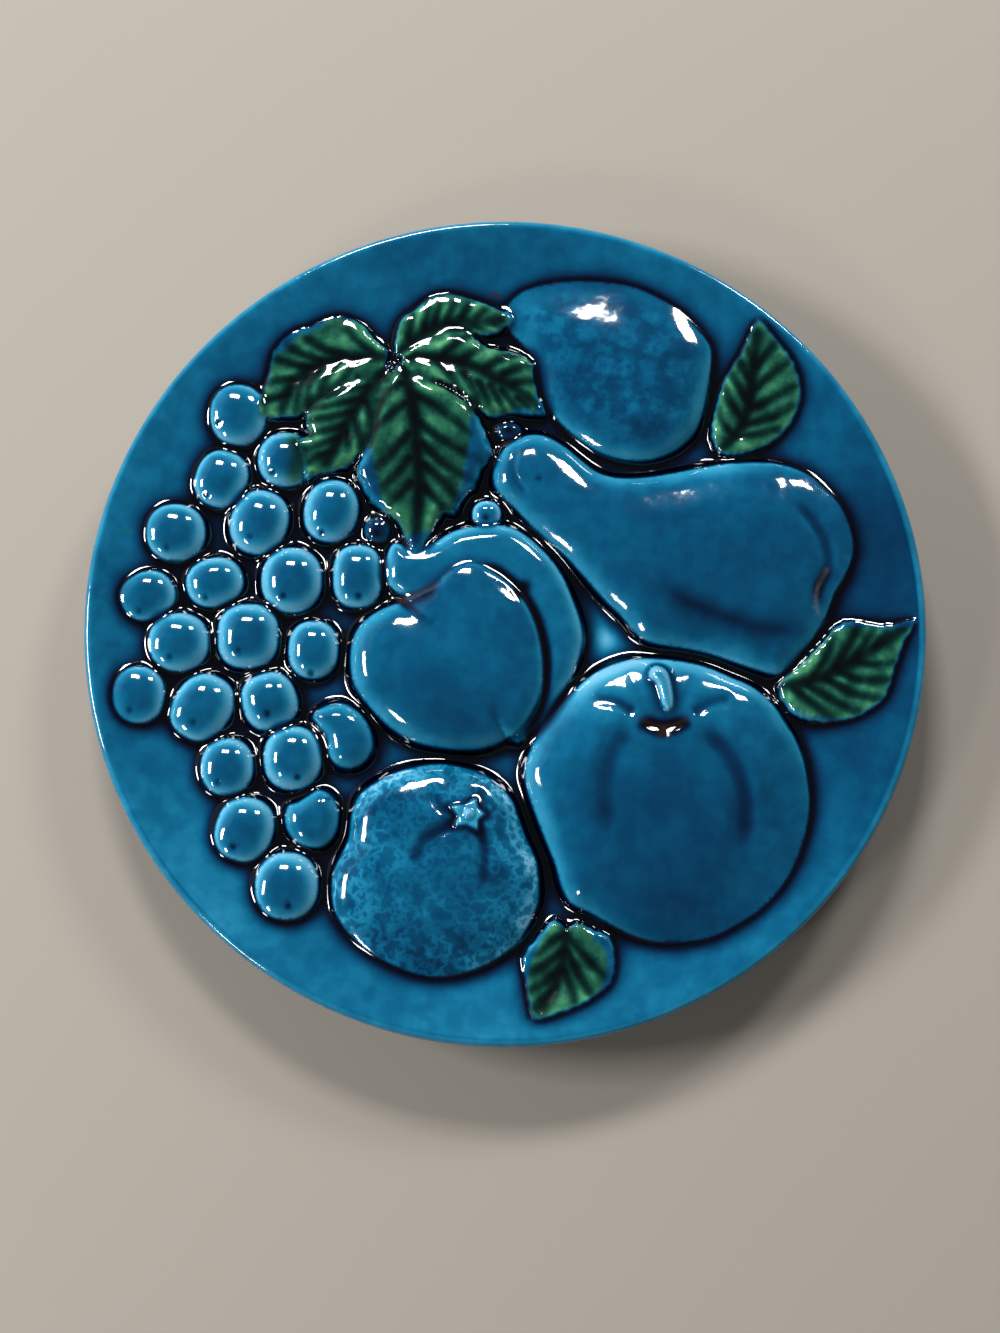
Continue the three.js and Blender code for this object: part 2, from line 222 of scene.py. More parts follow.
def distance_to(
    x: np.ndarray, y: np.ndarray, line: np.ndarray, closed: bool
) -> tuple[np.ndarray, np.ndarray]:
    """Distance from each cell to a line.

    Args:
        x: the cells' x.
        y: the cells' y.
        line: the line's points, one a row.
        closed: whether the line is an outline. Inside it the distance is positive,
            and outside negative.

    Returns:
        The distances, and how far along the line the nearest place is, from 0 to 1.
    """
    x, y = x.astype(np.float32), y.astype(np.float32)
    nearest = np.full(x.shape, np.inf, np.float32)
    along = np.zeros(x.shape, np.float32)
    inside = np.zeros(x.shape, bool)
    ends = np.roll(line, -1, 0) if closed else line[1:]
    count = len(ends)
    for i, ((ax, ay), (bx, by)) in enumerate(zip(line, ends)):
        dx, dy = bx - ax, by - ay
        length_squared = max(dx * dx + dy * dy, 1e-9)
        t = np.clip(((x - ax) * dx + (y - ay) * dy) / length_squared, 0, 1)
        gap = (x - ax - t * dx) ** 2 + (y - ay - t * dy) ** 2
        closer = gap < nearest
        nearest = np.where(closer, gap, nearest)
        along = np.where(closer, (i + t) / count, along)
        if closed and dy:
            crosses = ((ay > y) != (by > y)) & (x < dx * (y - ay) / dy + ax)
            inside ^= crosses
    nearest = np.sqrt(nearest)
    if closed:
        nearest = np.where(inside, nearest, -nearest)
    return nearest, along


@dataclass
class Furrow:
    """A groove pressed into the clay along a path.

    Attributes:
        path: where it runs. A single point makes a round dimple.
        depth: how deep it is, in mm.
        spread: how wide it is.
        fade: how much of its depth is gone at the path's end.
        taper: the share of the path over which it fades in, and out again.
        ink: how much darker the glaze is made along it: partly glaze pooled in it, partly painted
            shade in the groove.
    """

    path: Path
    depth: float
    spread: float
    fade: float = 0.0
    taper: float = 0.0
    ink: float = 0.0

    def pressed(self, x: np.ndarray, y: np.ndarray) -> np.ndarray:
        """How deep the groove is at each cell, in mm.

        Args:
            x: the cells' x.
            y: the cells' y.

        Returns:
            The depth.
        """
        if len(self.path) == 1:
            gap = np.hypot(x - self.path[0][0], y - self.path[0][1])
            return self.depth * bell(gap, self.spread)
        gap, along = distance_to(x, y, curve_through(self.path, False), False)
        deep = self.depth * (1 - self.fade * along)
        if self.taper:
            deep = deep * smoothstep(0, self.taper, np.minimum(along, 1 - along))
        return deep * bell(gap, self.spread)


@dataclass
class Blot:
    """A round place where the glaze is thicker or thinner, which fades from its middle. Some paint a
    sheen.
    """

    x: float
    y: float
    reach: float
    amount: float

    def spread_over(self, x: np.ndarray, y: np.ndarray) -> np.ndarray:
        """The blot's strength at each cell."""
        return self.amount * bell(np.hypot(x - self.x, y - self.y), self.reach)


@dataclass
class ClayFace:
    """The plate's face before glazing: the dished ground with the mounds pressed on it.

    Its grids hold the stand of the clay and one mask for each thing that the glaze or the
    material needs to know about a cell.

    Attributes:
        floor_radius: where the flat floor starts to climb.
        floor_stand: the floor's distance from the wall.
        lip_inside: where the climbing band meets the lip.
        lip_stand: the band's stand there.
        lip_slope: how steeply the lip goes on climbing.
        band_curve: power of the band's climb.
        moat_depth: depth of the groove along the mounds' feet.
        moat_reach: how far out from the feet it reaches.
        moat_share: blurred share of mound at which it starts and is full.
        moat_spares: how much of it the leaves' own edges are spared.
        fold_reach: how near the leaves' edges folds are left alone.
        fold_inside: blurred share of leaf at which filling starts and is full.
        fold_width: how wide a fold the clay can't follow.
        fold_depth: how deep a fold may stay.
        fold_softness: how soft the filled folds are.
        rim_reach: how wide the blue rim along the leaves' edges is.
        rim_stray: how uneven that rim is.
        rim_inside: blurred share of leaf at which the green starts and is full.
        ground_tones: places where the ground's glaze is thicker or thinner.
    """

    raster: Raster
    floor_radius: float = 84.0
    floor_stand: float = 13.0
    lip_inside: float = 126.4
    lip_stand: float = 21.3
    lip_slope: float = 0.18
    band_curve: float = 1.8
    moat_depth: float = 0.25
    moat_reach: float = 1.7
    moat_share: Span = (0.04, 0.4)
    moat_spares: float = 0.5
    fold_reach: float = 1.3
    fold_inside: Span = (0.8, 0.97)
    fold_width: float = 2.4
    fold_depth: float = 0.5
    fold_softness: float = 0.8
    rim_reach: float = 0.85
    rim_stray: float = 0.13
    rim_inside: Span = (0.6, 0.84)
    ground_tones: list[Blot] = field(default_factory=lambda: [
        Blot(122, 15, 48, 2.1), Blot(112, -55, 30, 0.8), Blot(0, 122, 60, 0.5),
        Blot(-10, -122, 40, -0.5), Blot(-92, -80, 26, -0.8), Blot(-120, 0, 30, 0.3),
        Blot(31, -4.5, 6.5, -2.2),
    ])

    def __post_init__(self) -> None:
        """Starts with the bare ground and empty masks."""
        self.ground = self.ground_at(np.hypot(self.raster.x, self.raster.y))
        self.stand = self.ground.copy()
        self.mound, self.tone, self.dirt, self.bare, self.peel = self.blank_masks(5)
        self.leaf, self.paint, self.vein, self.mottle = self.blank_masks(4)
        for blot in self.ground_tones:
            self.tone += blot.spread_over(self.raster.x, self.raster.y)

    def blank_masks(self, count: int) -> list[np.ndarray]:
        """So many masks that are 0 everywhere."""
        return [np.zeros_like(self.stand) for _ in range(count)]

    def ground_at(self, radius: np.ndarray) -> np.ndarray:
        """The bare ground's stand.

        Args:
            radius: distances from the plate's middle, in mm.

        Returns:
            The stand at each of them.
        """
        rise = np.clip((radius - self.floor_radius) / (self.lip_inside - self.floor_radius), 0, 1)
        edge = self.lip_slope * np.maximum(radius - self.lip_inside, 0)
        return self.floor_stand + (self.lip_stand - self.floor_stand) * rise**self.band_curve + edge

    def settle(self, here: Window, raised: np.ndarray, fillet: float) -> None:
        """Joins a mound to what is there, with a fillet at its foot.

        Args:
            here: the mound's part of the grid.
            raised: the mound's own surface.
            fillet: the fillet's reach in height, in mm.
        """
        self.stand[here] = soft_max(self.stand[here], raised, fillet)

    def colour_body(self, here: Window, body: np.ndarray, tone: np.ndarray | float) -> None:
        """Sets the glaze's tone on a mound, which takes the place of the tone under it.

        Args:
            here: the mound's part of the grid.
            body: 1 on the mound and 0 outside it.
            tone: how much thicker its glaze is than usual.
        """
        self.tone[here] += (tone - self.tone[here]) * body
        self.mound[here] = np.maximum(self.mound[here], body)

    def cut_moat(self) -> None:
        """Presses a shallow groove into the ground along the foot of every mound."""
        near = smoothstep(*self.moat_share, self.raster.blur(self.mound, self.moat_reach))
        left = (1 - self.mound) * (1 - self.moat_spares * self.leaf)
        self.stand -= self.moat_depth * near * left

    def fill_folds(self) -> None:
        """Fills the deep folds where two leaf blades meet, as soft clay does."""
        blur = self.raster.blur
        inside = smoothstep(*self.fold_inside, blur(self.leaf, self.fold_reach))
        filled = np.maximum(self.stand, blur(self.stand, self.fold_width) - self.fold_depth)
        self.stand += (blur(filled, self.fold_softness) - self.stand) * inside

    def trim_paint(self) -> None:
        """Leaves an uneven blue rim along the leaves' edges, but none where two blades meet."""
        stray = self.rim_stray * unsteady(self.raster.x, self.raster.y)
        inside = self.raster.blur(self.leaf, self.rim_reach) + stray
        self.paint *= smoothstep(*self.rim_inside, inside)


@dataclass
class Fruit:
    """A large fruit: a swollen mound with furrows.

    Attributes:
        outline: its drawn edge.
        crown: stand of its highest part.
        shoulder: how far in from the edge the face levels off.
        furrows: grooves pressed into it.
        roll: how far the moulded foot reaches past the drawn edge.
        tone: how much thicker its glaze is than usual.
        peel: how much its glaze is sponged.
        mottle: how blotchy its glaze is.
        plump: power of the swell. A lower value gives a steeper edge.
        rise: how much the rising ground lowers its crown above it.
        lean: how much higher the crown stands a mm further right.
        tones: places where its glaze is thicker or thinner. Some are painted sheen: thinner glaze
            where a reflection lightens the fruit.
        evening: how widely the swell's ridges are smoothed.
        evened: where that starts and is full, counted inwards from the edge.
        least_lift: how far it stands above what it covers, at least.
        furrow_blend: how softly two furrows join.
        furrows_full: how far inside the edge the furrows are at full depth.
        fillet: reach of the fillet at its foot, in height.
        covers_from: how far inside its edge it hides all that is under it.
        covers_above: how far above the ground it has to stand for that.
        calmed: how far inside its edge the sponging grows weaker, until half is left.
        blotched: how far inside its edge the blotches start and are full.
        margin: how far around it the clay is worked.
    """

    name: str
    outline: Path
    crown: float
    shoulder: float
    furrows: list[Furrow] = field(default_factory=list)
    roll: float = 1.1
    tone: float = 0.0
    peel: float = 0.0
    mottle: float = 0.0
    plump: float = 0.5
    rise: float = 0.5
    lean: float = 0.0
    tones: list[Blot] = field(default_factory=list)
    evening: float = 3.5
    evened: Span = (4, 11)
    least_lift: float = 1.5
    furrow_blend: float = 0.4
    furrows_full: float = 2.5
    fillet: float = 0.8
    covers_from: float = 2.0
    covers_above: float = 2.5
    calmed: Span = (4, 20)
    blotched: Span = (1, 9)
    margin: float = 9.0

    def press(self, face: ClayFace) -> None:
        """Adds the fruit to the face.

        Args:
            face: the clay to press it on.
        """
        edge = curve_through(self.outline, True)
        here, x, y = face.raster.around(edge, self.margin)
        inward, _ = distance_to(x, y, edge, True)
        under, ground = face.stand[here], face.ground[here]
        top = self.crown - self.rise * (ground - face.floor_stand)
        top = top + self.lean * (x - float(edge[:, 0].mean()))
        top = np.maximum(top, under + self.least_lift)
        base = np.where(inward > -self.roll, under, under - OUTSIDE_DROP)
        raised = base + (top - under) * self.swell(face, here, inward)
        sunk, tone = self.cut_furrows(x, y)
        raised = raised - sunk * smoothstep(-self.roll, self.furrows_full, inward)
        covered = (inward > self.covers_from) & (raised > ground + self.covers_above)
        face.settle(here, raised, self.fillet)
        face.stand[here] = np.where(covered, raised, face.stand[here])
        self.dress(face, here, inward, tone)
        LOG.info("pressed: %s", self.name)

    def swell(self, face: ClayFace, here: Window, inward: np.ndarray) -> np.ndarray:
        """Shapes the mound, smoothed where opposite shoulders would meet in a ridge.

        Args:
            face: the clay that it is pressed on.
            here: the fruit's part of the grid.
            inward: distance inwards from the drawn edge.

        Returns:
            Its height at each cell as a share of the crown's, from 0 to 1.
        """
        reach = np.clip((inward + self.roll) / self.shoulder, 0, 1)
        share = (1 - (1 - reach) ** 2) ** self.plump
        canvas = np.zeros_like(face.stand)
        canvas[here] = share
        even = face.raster.blur(canvas, self.evening)[here]
        return share + (even - share) * smoothstep(*self.evened, inward)

    def cut_furrows(self, x: np.ndarray, y: np.ndarray) -> tuple[np.ndarray, np.ndarray]:
        """Works out the furrows and the glaze's tone.

        Args:
            x: the cells' x.
            y: the cells' y.

        Returns:
            How deep the furrows are, and how much thicker than usual the glaze is, painted shade
            included.
        """
        sunk = np.zeros_like(x)
        tone = np.full_like(x, self.tone)
        for furrow in self.furrows:
            pressed = furrow.pressed(x, y)
            sunk = soft_max(sunk, pressed, self.furrow_blend)
            # A furrow's ink darkens the glaze along it: pooled glaze and painted shade.
            tone = tone + furrow.ink * pressed / furrow.depth
        for blot in self.tones:
            tone = tone + blot.spread_over(x, y)
        return sunk, tone

    def dress(self, face: ClayFace, here: Window, inward: np.ndarray, tone: np.ndarray) -> None:
        """Sets the masks of the fruit's glaze.

        Args:
            face: the clay with the fruit on it.
            here: the fruit's part of the grid.
            inward: distance inwards from the drawn edge.
            tone: how much thicker than usual its glaze is, with the painted shade in its furrows and
                the painted sheen of some blots.
        """
        body = smoothstep(*COLOUR_EDGE, inward)
        face.colour_body(here, body, tone)
        sponged = self.peel * body * (1 - 0.5 * smoothstep(*self.calmed, inward))
        face.peel[here] = np.maximum(face.peel[here] * (1 - body), sponged)
        blotchy = self.mottle * smoothstep(*self.blotched, inward)
        face.mottle[here] = np.maximum(face.mottle[here] * (1 - body), blotchy)


@dataclass
class Grape:
    """A grape: an egg-shaped dome.

    Attributes:
        x: its middle's x.
        y: its middle's y.
        wide: its width.
        high: its height.
        lean: how many degrees anticlockwise it is turned.
        square: power of its outline. 2 gives an ellipse, and more squarer sides.
        pit: its pinhole. Without one, a paler pinhole stands where most grapes have theirs.
        tone: how much thicker its glaze is than usual.
        usual_pit: where most grapes have their pinhole, from the middle.
        rim_tone: how much thicker the glaze is at its edge.
        middle_tone: how much thicker the glaze is in its middle than at its edge.
        middle_share: how far out that starts and is full, as a share of its radius.
        roll: how far its foot reaches past its drawn edge.
        least_lift: how far the smallest grape would stand above the floor.
        lift_share: how much of its smaller side is added to that.
        rises: share of the ground's rise that lifts its middle, and that lifts its edges.
        root: how far under the ground its dome starts.
        curve: power of its dome.
        fillet: reach of the fillet at its foot, in height.
        pit_size: the pinhole's depth and spread.
        pit_stain: the spread of the thick glaze in it.
        pit_ink: how much thicker that glaze is in its own pinhole, and in the usual one.
        margin: how far around it the clay is worked.
    """

    x: float
    y: float
    wide: float
    high: float
    lean: float = 0.0
    square: float = 2.2
    pit: Point | None = None
    tone: float = 0.0
    usual_pit: Point = (-2.4, -5.2)
    rim_tone: float = -1.0
    middle_tone: float = 1.05
    middle_share: Span = (0.9, 0.25)
    roll: float = 1.1
    least_lift: float = 2.2
    lift_share: float = 0.3
    rises: Span = (0.4, 0.3)
    root: float = 1.4
    curve: float = 2.1
    fillet: float = 0.7
    pit_size: Span = (0.55, 0.85)
    pit_stain: float = 0.8
    pit_ink: Span = (4.2, 2.2)
    margin: float = 3.0

    def press(self, face: ClayFace) -> None:
        """Adds the grape to the face.

        Args:
            face: the clay to press it on.
        """
        small = min(self.wide, self.high)
        reach = max(self.wide, self.high) / 2 + self.margin
        here, x, y = face.raster.around(np.array([[self.x, self.y]]), reach)
        x, y = x - self.x, y - self.y
        turn = math.radians(self.lean)
        across = np.abs(x * math.cos(turn) + y * math.sin(turn)) / (self.wide / 2 + self.roll)
        up = np.abs(-x * math.sin(turn) + y * math.cos(turn)) / (self.high / 2 + self.roll)
        out = (across**self.square + up**self.square) ** (1 / self.square)
        ground = face.ground[here]
        middle = float(face.ground_at(np.hypot(self.x, self.y)))
        crown = face.floor_stand + self.least_lift + self.lift_share * small
        crown = crown + self.rises[0] * (middle - face.floor_stand) + self.rises[1] * (ground - middle)
        base = ground - self.root
        rounded = np.sqrt(np.maximum(0, 1 - np.minimum(out, 1) ** self.curve))
        raised = base + (crown - base) * rounded - OUTSIDE_DROP * np.maximum(out - 1, 0)
        px, py = self.pit or (self.x + self.usual_pit[0], self.y + self.usual_pit[1])
        gap = np.hypot(x + self.x - px, y + self.y - py)
        raised = raised - self.pit_size[0] * bell(gap, self.pit_size[1])
        face.settle(here, raised, self.fillet)
        body = smoothstep(*COLOUR_EDGE, (1 - out) * (small / 2 + self.roll) - self.roll)
        tone = self.tone + self.rim_tone + self.middle_tone * smoothstep(*self.middle_share, out)
        ink = self.pit_ink[0] if self.pit else self.pit_ink[1]
        tone = tone + bell(gap, self.pit_stain) * ink
        face.colour_body(here, body, tone)


@dataclass
class Leaf:
    """A leaf blade: a pillow with a sunk midrib and side veins, painted green.

    Attributes:
        outline: its edge.
        midrib: its middle vein, from the stalk to the tip.
        crown: stand of its highest part.
        sunk: depth of the midrib's hollow.
        veins: side veins, each from the midrib outwards.
        margins: outlines of the parts that were left blue.
        tone: how much thicker its green is than usual.
        teeth: how far its edge is notched, in mm.
        tooth_pitch: how closely the notches follow each other.
        rib_relief: depth of the line along the midrib's hollow.
        vein_relief: depth of the side veins.
        hollow_spread: how wide the midrib's hollow is.
        rib_spread: how wide the line along it is.
        vein_spread: how wide the side veins are.
        roll: how far the moulded foot reaches past the drawn edge.
        shoulder: how far in from the foot the face levels off.
        rise: how much the rising ground lowers its crown above it.
        least_lift: how far it stands above what it covers, at least.
        fillet: reach of the fillet at its foot, in height.
        covers_from: how far inside its edge it hides all that is under it.
        grooves_full: how far inside its edge the grooves start and are at full depth.
        lines_full: the same for the green that pools in them.
        green_edge: how far inside its edge the paint starts and is full.
        margin_edge: how far inside a blue part's edge the paint starts to fade and is gone.
        margin_stray: how uneven the blue parts' edges are, in mm.
        mottle: how blotchy its glaze is.
        reach: how far around it the clay is worked.
    """

    name: str
    outline: Path
    midrib: Path
    crown: float
    sunk: float
    veins: list[Path]
    margins: list[Path] = field(default_factory=list)
    tone: float = 0.0
    teeth: float = 0.2
    tooth_pitch: float = 0.55
    rib_relief: float = 0.15
    vein_relief: float = 0.45
    hollow_spread: float = 3.8
    rib_spread: float = 1.7
    vein_spread: float = 1.3
    roll: float = 0.6
    shoulder: float = 4.5
    rise: float = 0.6
    least_lift: float = 1.2
    fillet: float = 0.6
    covers_from: float = 1.5
    grooves_full: Span = (-0.4, 2.5)
    lines_full: Span = (-0.2, 1.2)
    green_edge: Span = (-0.7, -0.1)
    margin_edge: Span = (-0.35, 0.35)
    margin_stray: float = 0.7
    mottle: float = 0.8
    reach: float = 5.0

    def press(self, face: ClayFace) -> None:
        """Adds the blade to the face, with its green paint.

        Args:
            face: the clay to press it on.
        """
        edge = curve_through(self.outline, True, 2)
        here, x, y = face.raster.around(edge, self.reach)
        inward, _ = distance_to(x, y, edge, True)
        inward = inward + self.teeth * unsteady(self.tooth_pitch * x, self.tooth_pitch * y)
        under = face.stand[here]
        top = self.crown - self.rise * (face.ground[here] - face.floor_stand)
        top = np.maximum(top, under + self.least_lift)
        base = np.where(inward > -self.roll, under, under - OUTSIDE_DROP)
        raised = base + (top - under) * dome((inward + self.roll) / self.shoulder)
        sunk = Furrow(self.midrib, self.sunk, self.hollow_spread, fade=0.45).pressed(x, y)
        rib = Furrow(self.midrib, 1.0, self.rib_spread, fade=0.2).pressed(x, y)
        fine = np.zeros_like(sunk)
        for vein in self.veins:
            line = Furrow(vein, 1.0, self.vein_spread, fade=0.5)
            fine = np.maximum(fine, line.pressed(x, y))
        grooves = sunk + self.rib_relief * rib + self.vein_relief * fine
        raised = raised - grooves * smoothstep(*self.grooves_full, inward)
        face.settle(here, raised, self.fillet)
        face.stand[here] = np.where(inward > self.covers_from, raised, face.stand[here])
        green = smoothstep(*self.green_edge, inward)
        stray = self.margin_stray * unsteady(x, y)
        for margin in self.margins:
            out, _ = distance_to(x, y, curve_through(margin, True, 2), True)
            green = green * (1 - smoothstep(*self.margin_edge, out + stray))
        self.paint(face, here, inward, green, np.maximum(rib, fine))
        LOG.info("pressed: %s", self.name)

    def paint(
        self, face: ClayFace, here: Window, inward: np.ndarray, green: np.ndarray,
        lines: np.ndarray,
    ) -> None:
        """Sets the masks of the blade's glaze and paint.

        Args:
            face: the clay with the blade on it.
            here: the blade's part of the grid.
            inward: distance inwards from its edge.
            green: 1 where it is painted.
            lines: 1 along its midrib and side veins.
        """
        body = smoothstep(*COLOUR_EDGE, inward)
        face.colour_body(here, body, self.tone)
        lines = lines * smoothstep(*self.lines_full, inward)
        face.leaf[here] = np.maximum(face.leaf[here], body)
        face.paint[here] = np.maximum(face.paint[here], green)
        face.vein[here] = np.maximum(face.vein[here] * (1 - body), lines)
        face.mottle[here] = np.maximum(face.mottle[here], self.mottle * body)


@dataclass
class CalyxStar:
    """The leafy star where the tangerine left its stalk, with a bud in its middle.

    Attributes:
        centre: the bud's middle.
        thickness: how far the star stands above the peel.
        tone: how much thicker its glaze is than usual.
        shadow_tone: how much darker the glaze is made right around it, as painted shade.
        bud_height: how far the bud stands above the star.
        bud_radius: how wide the bud is.
        groove_radius: distance of the groove around the bud.
        groove_depth: how deep that groove is.
        groove_spread: how wide it is.
        evening: how widely the peel's furrows under the star are smoothed.
        roll: how far its foot reaches past its outline.
        shoulder: how far in from the foot its face levels off.
        fillet: reach of the fillet at its foot, in height.
        colour_edge: how far inside its outline its own tone starts and is full.
        shadow_edge: how far inside its outline the shadow starts and is full.
        margin: how far around it the clay is worked.
        points: the corners of its outline.
    """

    centre: Point = (-11.2, -60.3)
    thickness: float = 1.95
    tone: float = -2.0
    shadow_tone: float = 2.6
    bud_height: float = 1.3
    bud_radius: float = 1.35
    groove_radius: float = 2.1
    groove_depth: float = 0.5
    groove_spread: float = 0.5477
    evening: float = 1.5
    roll: float = 0.5
    shoulder: float = 1.6
    fillet: float = 0.4
    colour_edge: Span = (-0.2, 0.4)
    shadow_edge: Span = (-2.4, -0.5)
    margin: float = 4.0
    points: Path = field(default_factory=lambda: [
        (-6.3, -60.3), (-8.1, -62.1), (-8.3, -65.3), (-11.6, -63.8), (-15.3, -64.1), (-14.5, -60.9),
        (-16.5, -57.9), (-12.4, -57.4), (-9.0, -55.4), (-8.3, -58.5),
    ])

    def press(self, face: ClayFace) -> None:
        """Adds the star to the face.

        Args:
            face: the clay to press it on, with the tangerine on it.
        """
        edge = np.array(self.points)
        here, x, y = face.raster.around(edge, self.margin)
        inward, _ = distance_to(x, y, edge, True)
        gap = np.hypot(x - self.centre[0], y - self.centre[1])
        raised = face.raster.blur(face.stand, self.evening)[here]
        raised = raised + self.thickness * dome((inward + self.roll) / self.shoulder)
        raised = raised - OUTSIDE_DROP * np.maximum(-inward - self.roll, 0)
        raised = raised - self.groove_depth * bell(gap - self.groove_radius, self.groove_spread)
        raised = raised + self.bud_height * bell((gap / self.bud_radius) ** 2, 1)
        face.settle(here, raised, self.fillet)
        body = smoothstep(*self.colour_edge, inward)
        face.colour_body(here, body, self.tone)
        # A ring of painted shade around the star.
        shadow = smoothstep(*self.shadow_edge, inward) * (1 - body)
        face.tone[here] += self.shadow_tone * shadow
        face.peel[here] *= 1 - body


class BerryTone(Enum):
    """How thick the glaze lies on a small berry."""

    LIGHT = -0.4
    NAVY = 3.0


GRAPES = [
    Grape(-84, 66.5, 18, 20, 0, 2.2, (-89.8, 63.3)),
    Grape(-69, 52.5, 18, 18, 0, 2.2, (-73, 48)),
    Grape(-89, 46, 16.5, 19, -20, 2.3, (-93.5, 40.5)),
    Grape(-77, 32.3, 18.5, 21.5, -15),
    Grape(-54.5, 36, 17.5, 21, -10, 2.2, (-57.2, 28.5)),
    Grape(-102.7, 28.5, 18.5, 18.5),
    Grape(-90.5, 13, 18.5, 16, 15),
    Grape(-66.5, 13.7, 19.5, 21.5, 0, 2.2, (-68.8, 8)),
    Grape(-46, 15, 16, 21, 0, 2.5, (-45.5, 8.3)),
    Grape(-110.8, 8.3, 17.5, 15.5, 30),
    Grape(-101, -6.2, 19, 19),
    Grape(-79.8, -4, 19.5, 21, 0, 2.5),
    Grape(-59.5, -8.3, 16, 19, 0, 2.3, (-60, -16)),
    Grape(-112.6, -23, 16, 18.5),
    Grape(-93.3, -26.5, 18.5, 22, -30, 2.3),
    Grape(-72.8, -24.5, 17.5, 18.5, 20, 2.4, (-73, -29)),
    Grape(-85.3, -45, 16.5, 18.5),
    Grape(-65.3, -42.2, 18.5, 20.5, 0, 2.2, (-63.5, -48.5)),
    Grape(-79.5, -64.3, 18, 20.5, -15, 2.3, (-82.5, -70)),
    Grape(-66.3, -81.6, 19.5, 21.3, 0, 2.2, (-65.5, -88)),
    Grape(-40, 30, 8.5, 8.5, 0, 2.2, (-40, 28.5), BerryTone.NAVY.value),
    Grape(-5.8, 35, 9.5, 9, 0, 2.2, (-6, 33.5), BerryTone.LIGHT.value),
    Grape(1, 62, 9, 6, 0, 2.2, (1.2, 62), BerryTone.NAVY.value),
]

DENTED_GRAPES = [
    Fruit(
        "dented_grape_upper",
        [(-57.5, -27), (-53, -25.3), (-49, -25.5), (-45, -28), (-42, -32), (-40.5, -37),
         (-41, -41), (-44, -44.5), (-48, -45.7), (-52, -44.5), (-54.5, -41), (-55.5, -36),
         (-58, -32), (-59.5, -29.5)],
        20.4, 9.5, [Furrow([(-46, -41.3)], 0.6, 0.9)],
    ),
    Fruit(
        "dented_grape_lower",
        [(-60, -53.5), (-57, -52), (-53.5, -53.5), (-51.3, -57), (-50.7, -61), (-51.8, -66),
         (-55, -69.5), (-59, -70), (-63.5, -68.5), (-66.5, -65), (-67.5, -61), (-66.5, -57),
         (-63.5, -55.8)],
        20.2, 9.0, [Furrow([(-58.5, -66.3)], 0.6, 0.9)],
    ),
]

LEMON = Fruit(
    "lemon",
    [(65.5, 86), (64, 91), (60, 96), (55, 101), (48, 105.5), (40, 109), (30, 110.7), (20, 111),
     (10, 109.5), (4, 107), (0, 102), (1, 95.5), (5, 91), (8.5, 86), (10.5, 78), (12.5, 71),
     (18, 64), (24, 58.7), (30, 54.8), (36, 52.8), (43, 52), (50, 53.5), (56, 56.8), (61, 63),
     (64, 74)],
    21.8, 21.0, mottle=1.0, plump=0.6, lean=0.105,
    # Blot(8, 103) lightens the lemon's upper-left end: painted sheen of a reflection.
    tones=[Blot(35, 75, 24, 0.15), Blot(8, 103, 15, -0.5)],
)

PEAR = Fruit(
    "pear",
    [(108.5, 22), (108, 29), (105, 37), (100, 43), (94, 48), (86, 51), (78, 51.7), (69, 51.3),
     (60, 49.7), (50, 47.8), (42, 46.7), (35, 46.8), (29, 48.6), (24, 52.5), (19, 56.7),
     (13, 60.2), (7, 60.6), (1, 57.5), (-2.6, 53), (-4, 47.5), (-2.5, 42), (3, 36.5), (8, 31),
     (13, 26), (19, 20.8), (25, 14), (31, 7), (36, 2), (40, -3), (45, -6.3), (54, -7.9),
     (62, -9.5), (70, -12.2), (78, -15), (84, -16.4), (88, -14), (92, -9.5), (96, -4.5),
     (99.5, 1.5), (102.5, 9), (106, 15)],
    23.6, 24.0,
    [
        Furrow([(44, 14), (52, 8), (60, 4), (70, 0), (78, -2.5), (88, -2.8), (97, 0.5)], 1.0, 3.4,
               taper=0.3, ink=2.0),
        Furrow([(50, 3), (60, -2), (70, -6), (80, -8.5), (90, -7)], 0.8, 6.5, taper=0.3,
               ink=0.7),
        Furrow([(84, 42), (92, 36), (98, 28), (100.5, 20), (99, 14), (97, 9), (97.5, 3)], 1.3, 2.8,
               taper=0.25),
        Furrow([(103, 18), (99, 14), (97, 10), (97.5, 4)], 1.2, 1.9, taper=0.3, ink=3.5),
        Furrow([(5, 57), (3, 53), (2.5, 48), (4.5, 43), (9, 39)], 1.0, 1.4, taper=0.25),
        Furrow([(10.5, 45)], 0.5, 0.8),
        Furrow([(79, 48), (82, 43), (83, 37)], 0.3, 1.4, taper=0.3),
        Furrow([(86, 48), (87.5, 43), (87.5, 37)], 0.3, 1.4, taper=0.3),
    ],
    # Blot(66, 46) lightens the pear's top: partly thinner glaze, partly painted sheen.
    tones=[Blot(66, 20, 24, 0.8), Blot(66, 46, 14, -0.5), Blot(70, -10, 12, -1.1)],
)

PEACH_BACK = Fruit(
    "peach_back_half",
    [(24, -7), (23.6, 0), (21, 8), (18, 15), (14, 21), (8, 27), (1, 31), (-8, 31.2),
     (-16, 29.5), (-24, 25), (-30, 24.5), (-35, 25.5), (-37.4, 20), (-37, 13), (-32, 8),
     (-22, 0), (-8, -16), (2, -37), (9.5, -33), (15.7, -25), (21, -17)],
    20.0, 9.0,
    [Furrow([(-8, 18.4), (-2, 15.6), (4, 10.6), (8, 4.4), (10.6, -2), (12.2, -9), (12.6, -16),
             (11.8, -23), (8.8, -30), (4, -36)], 1.8, 1.7, taper=0.12, ink=4.0)],
    tone=-0.6, tones=[Blot(4, -36, 5, 2.0)],
)

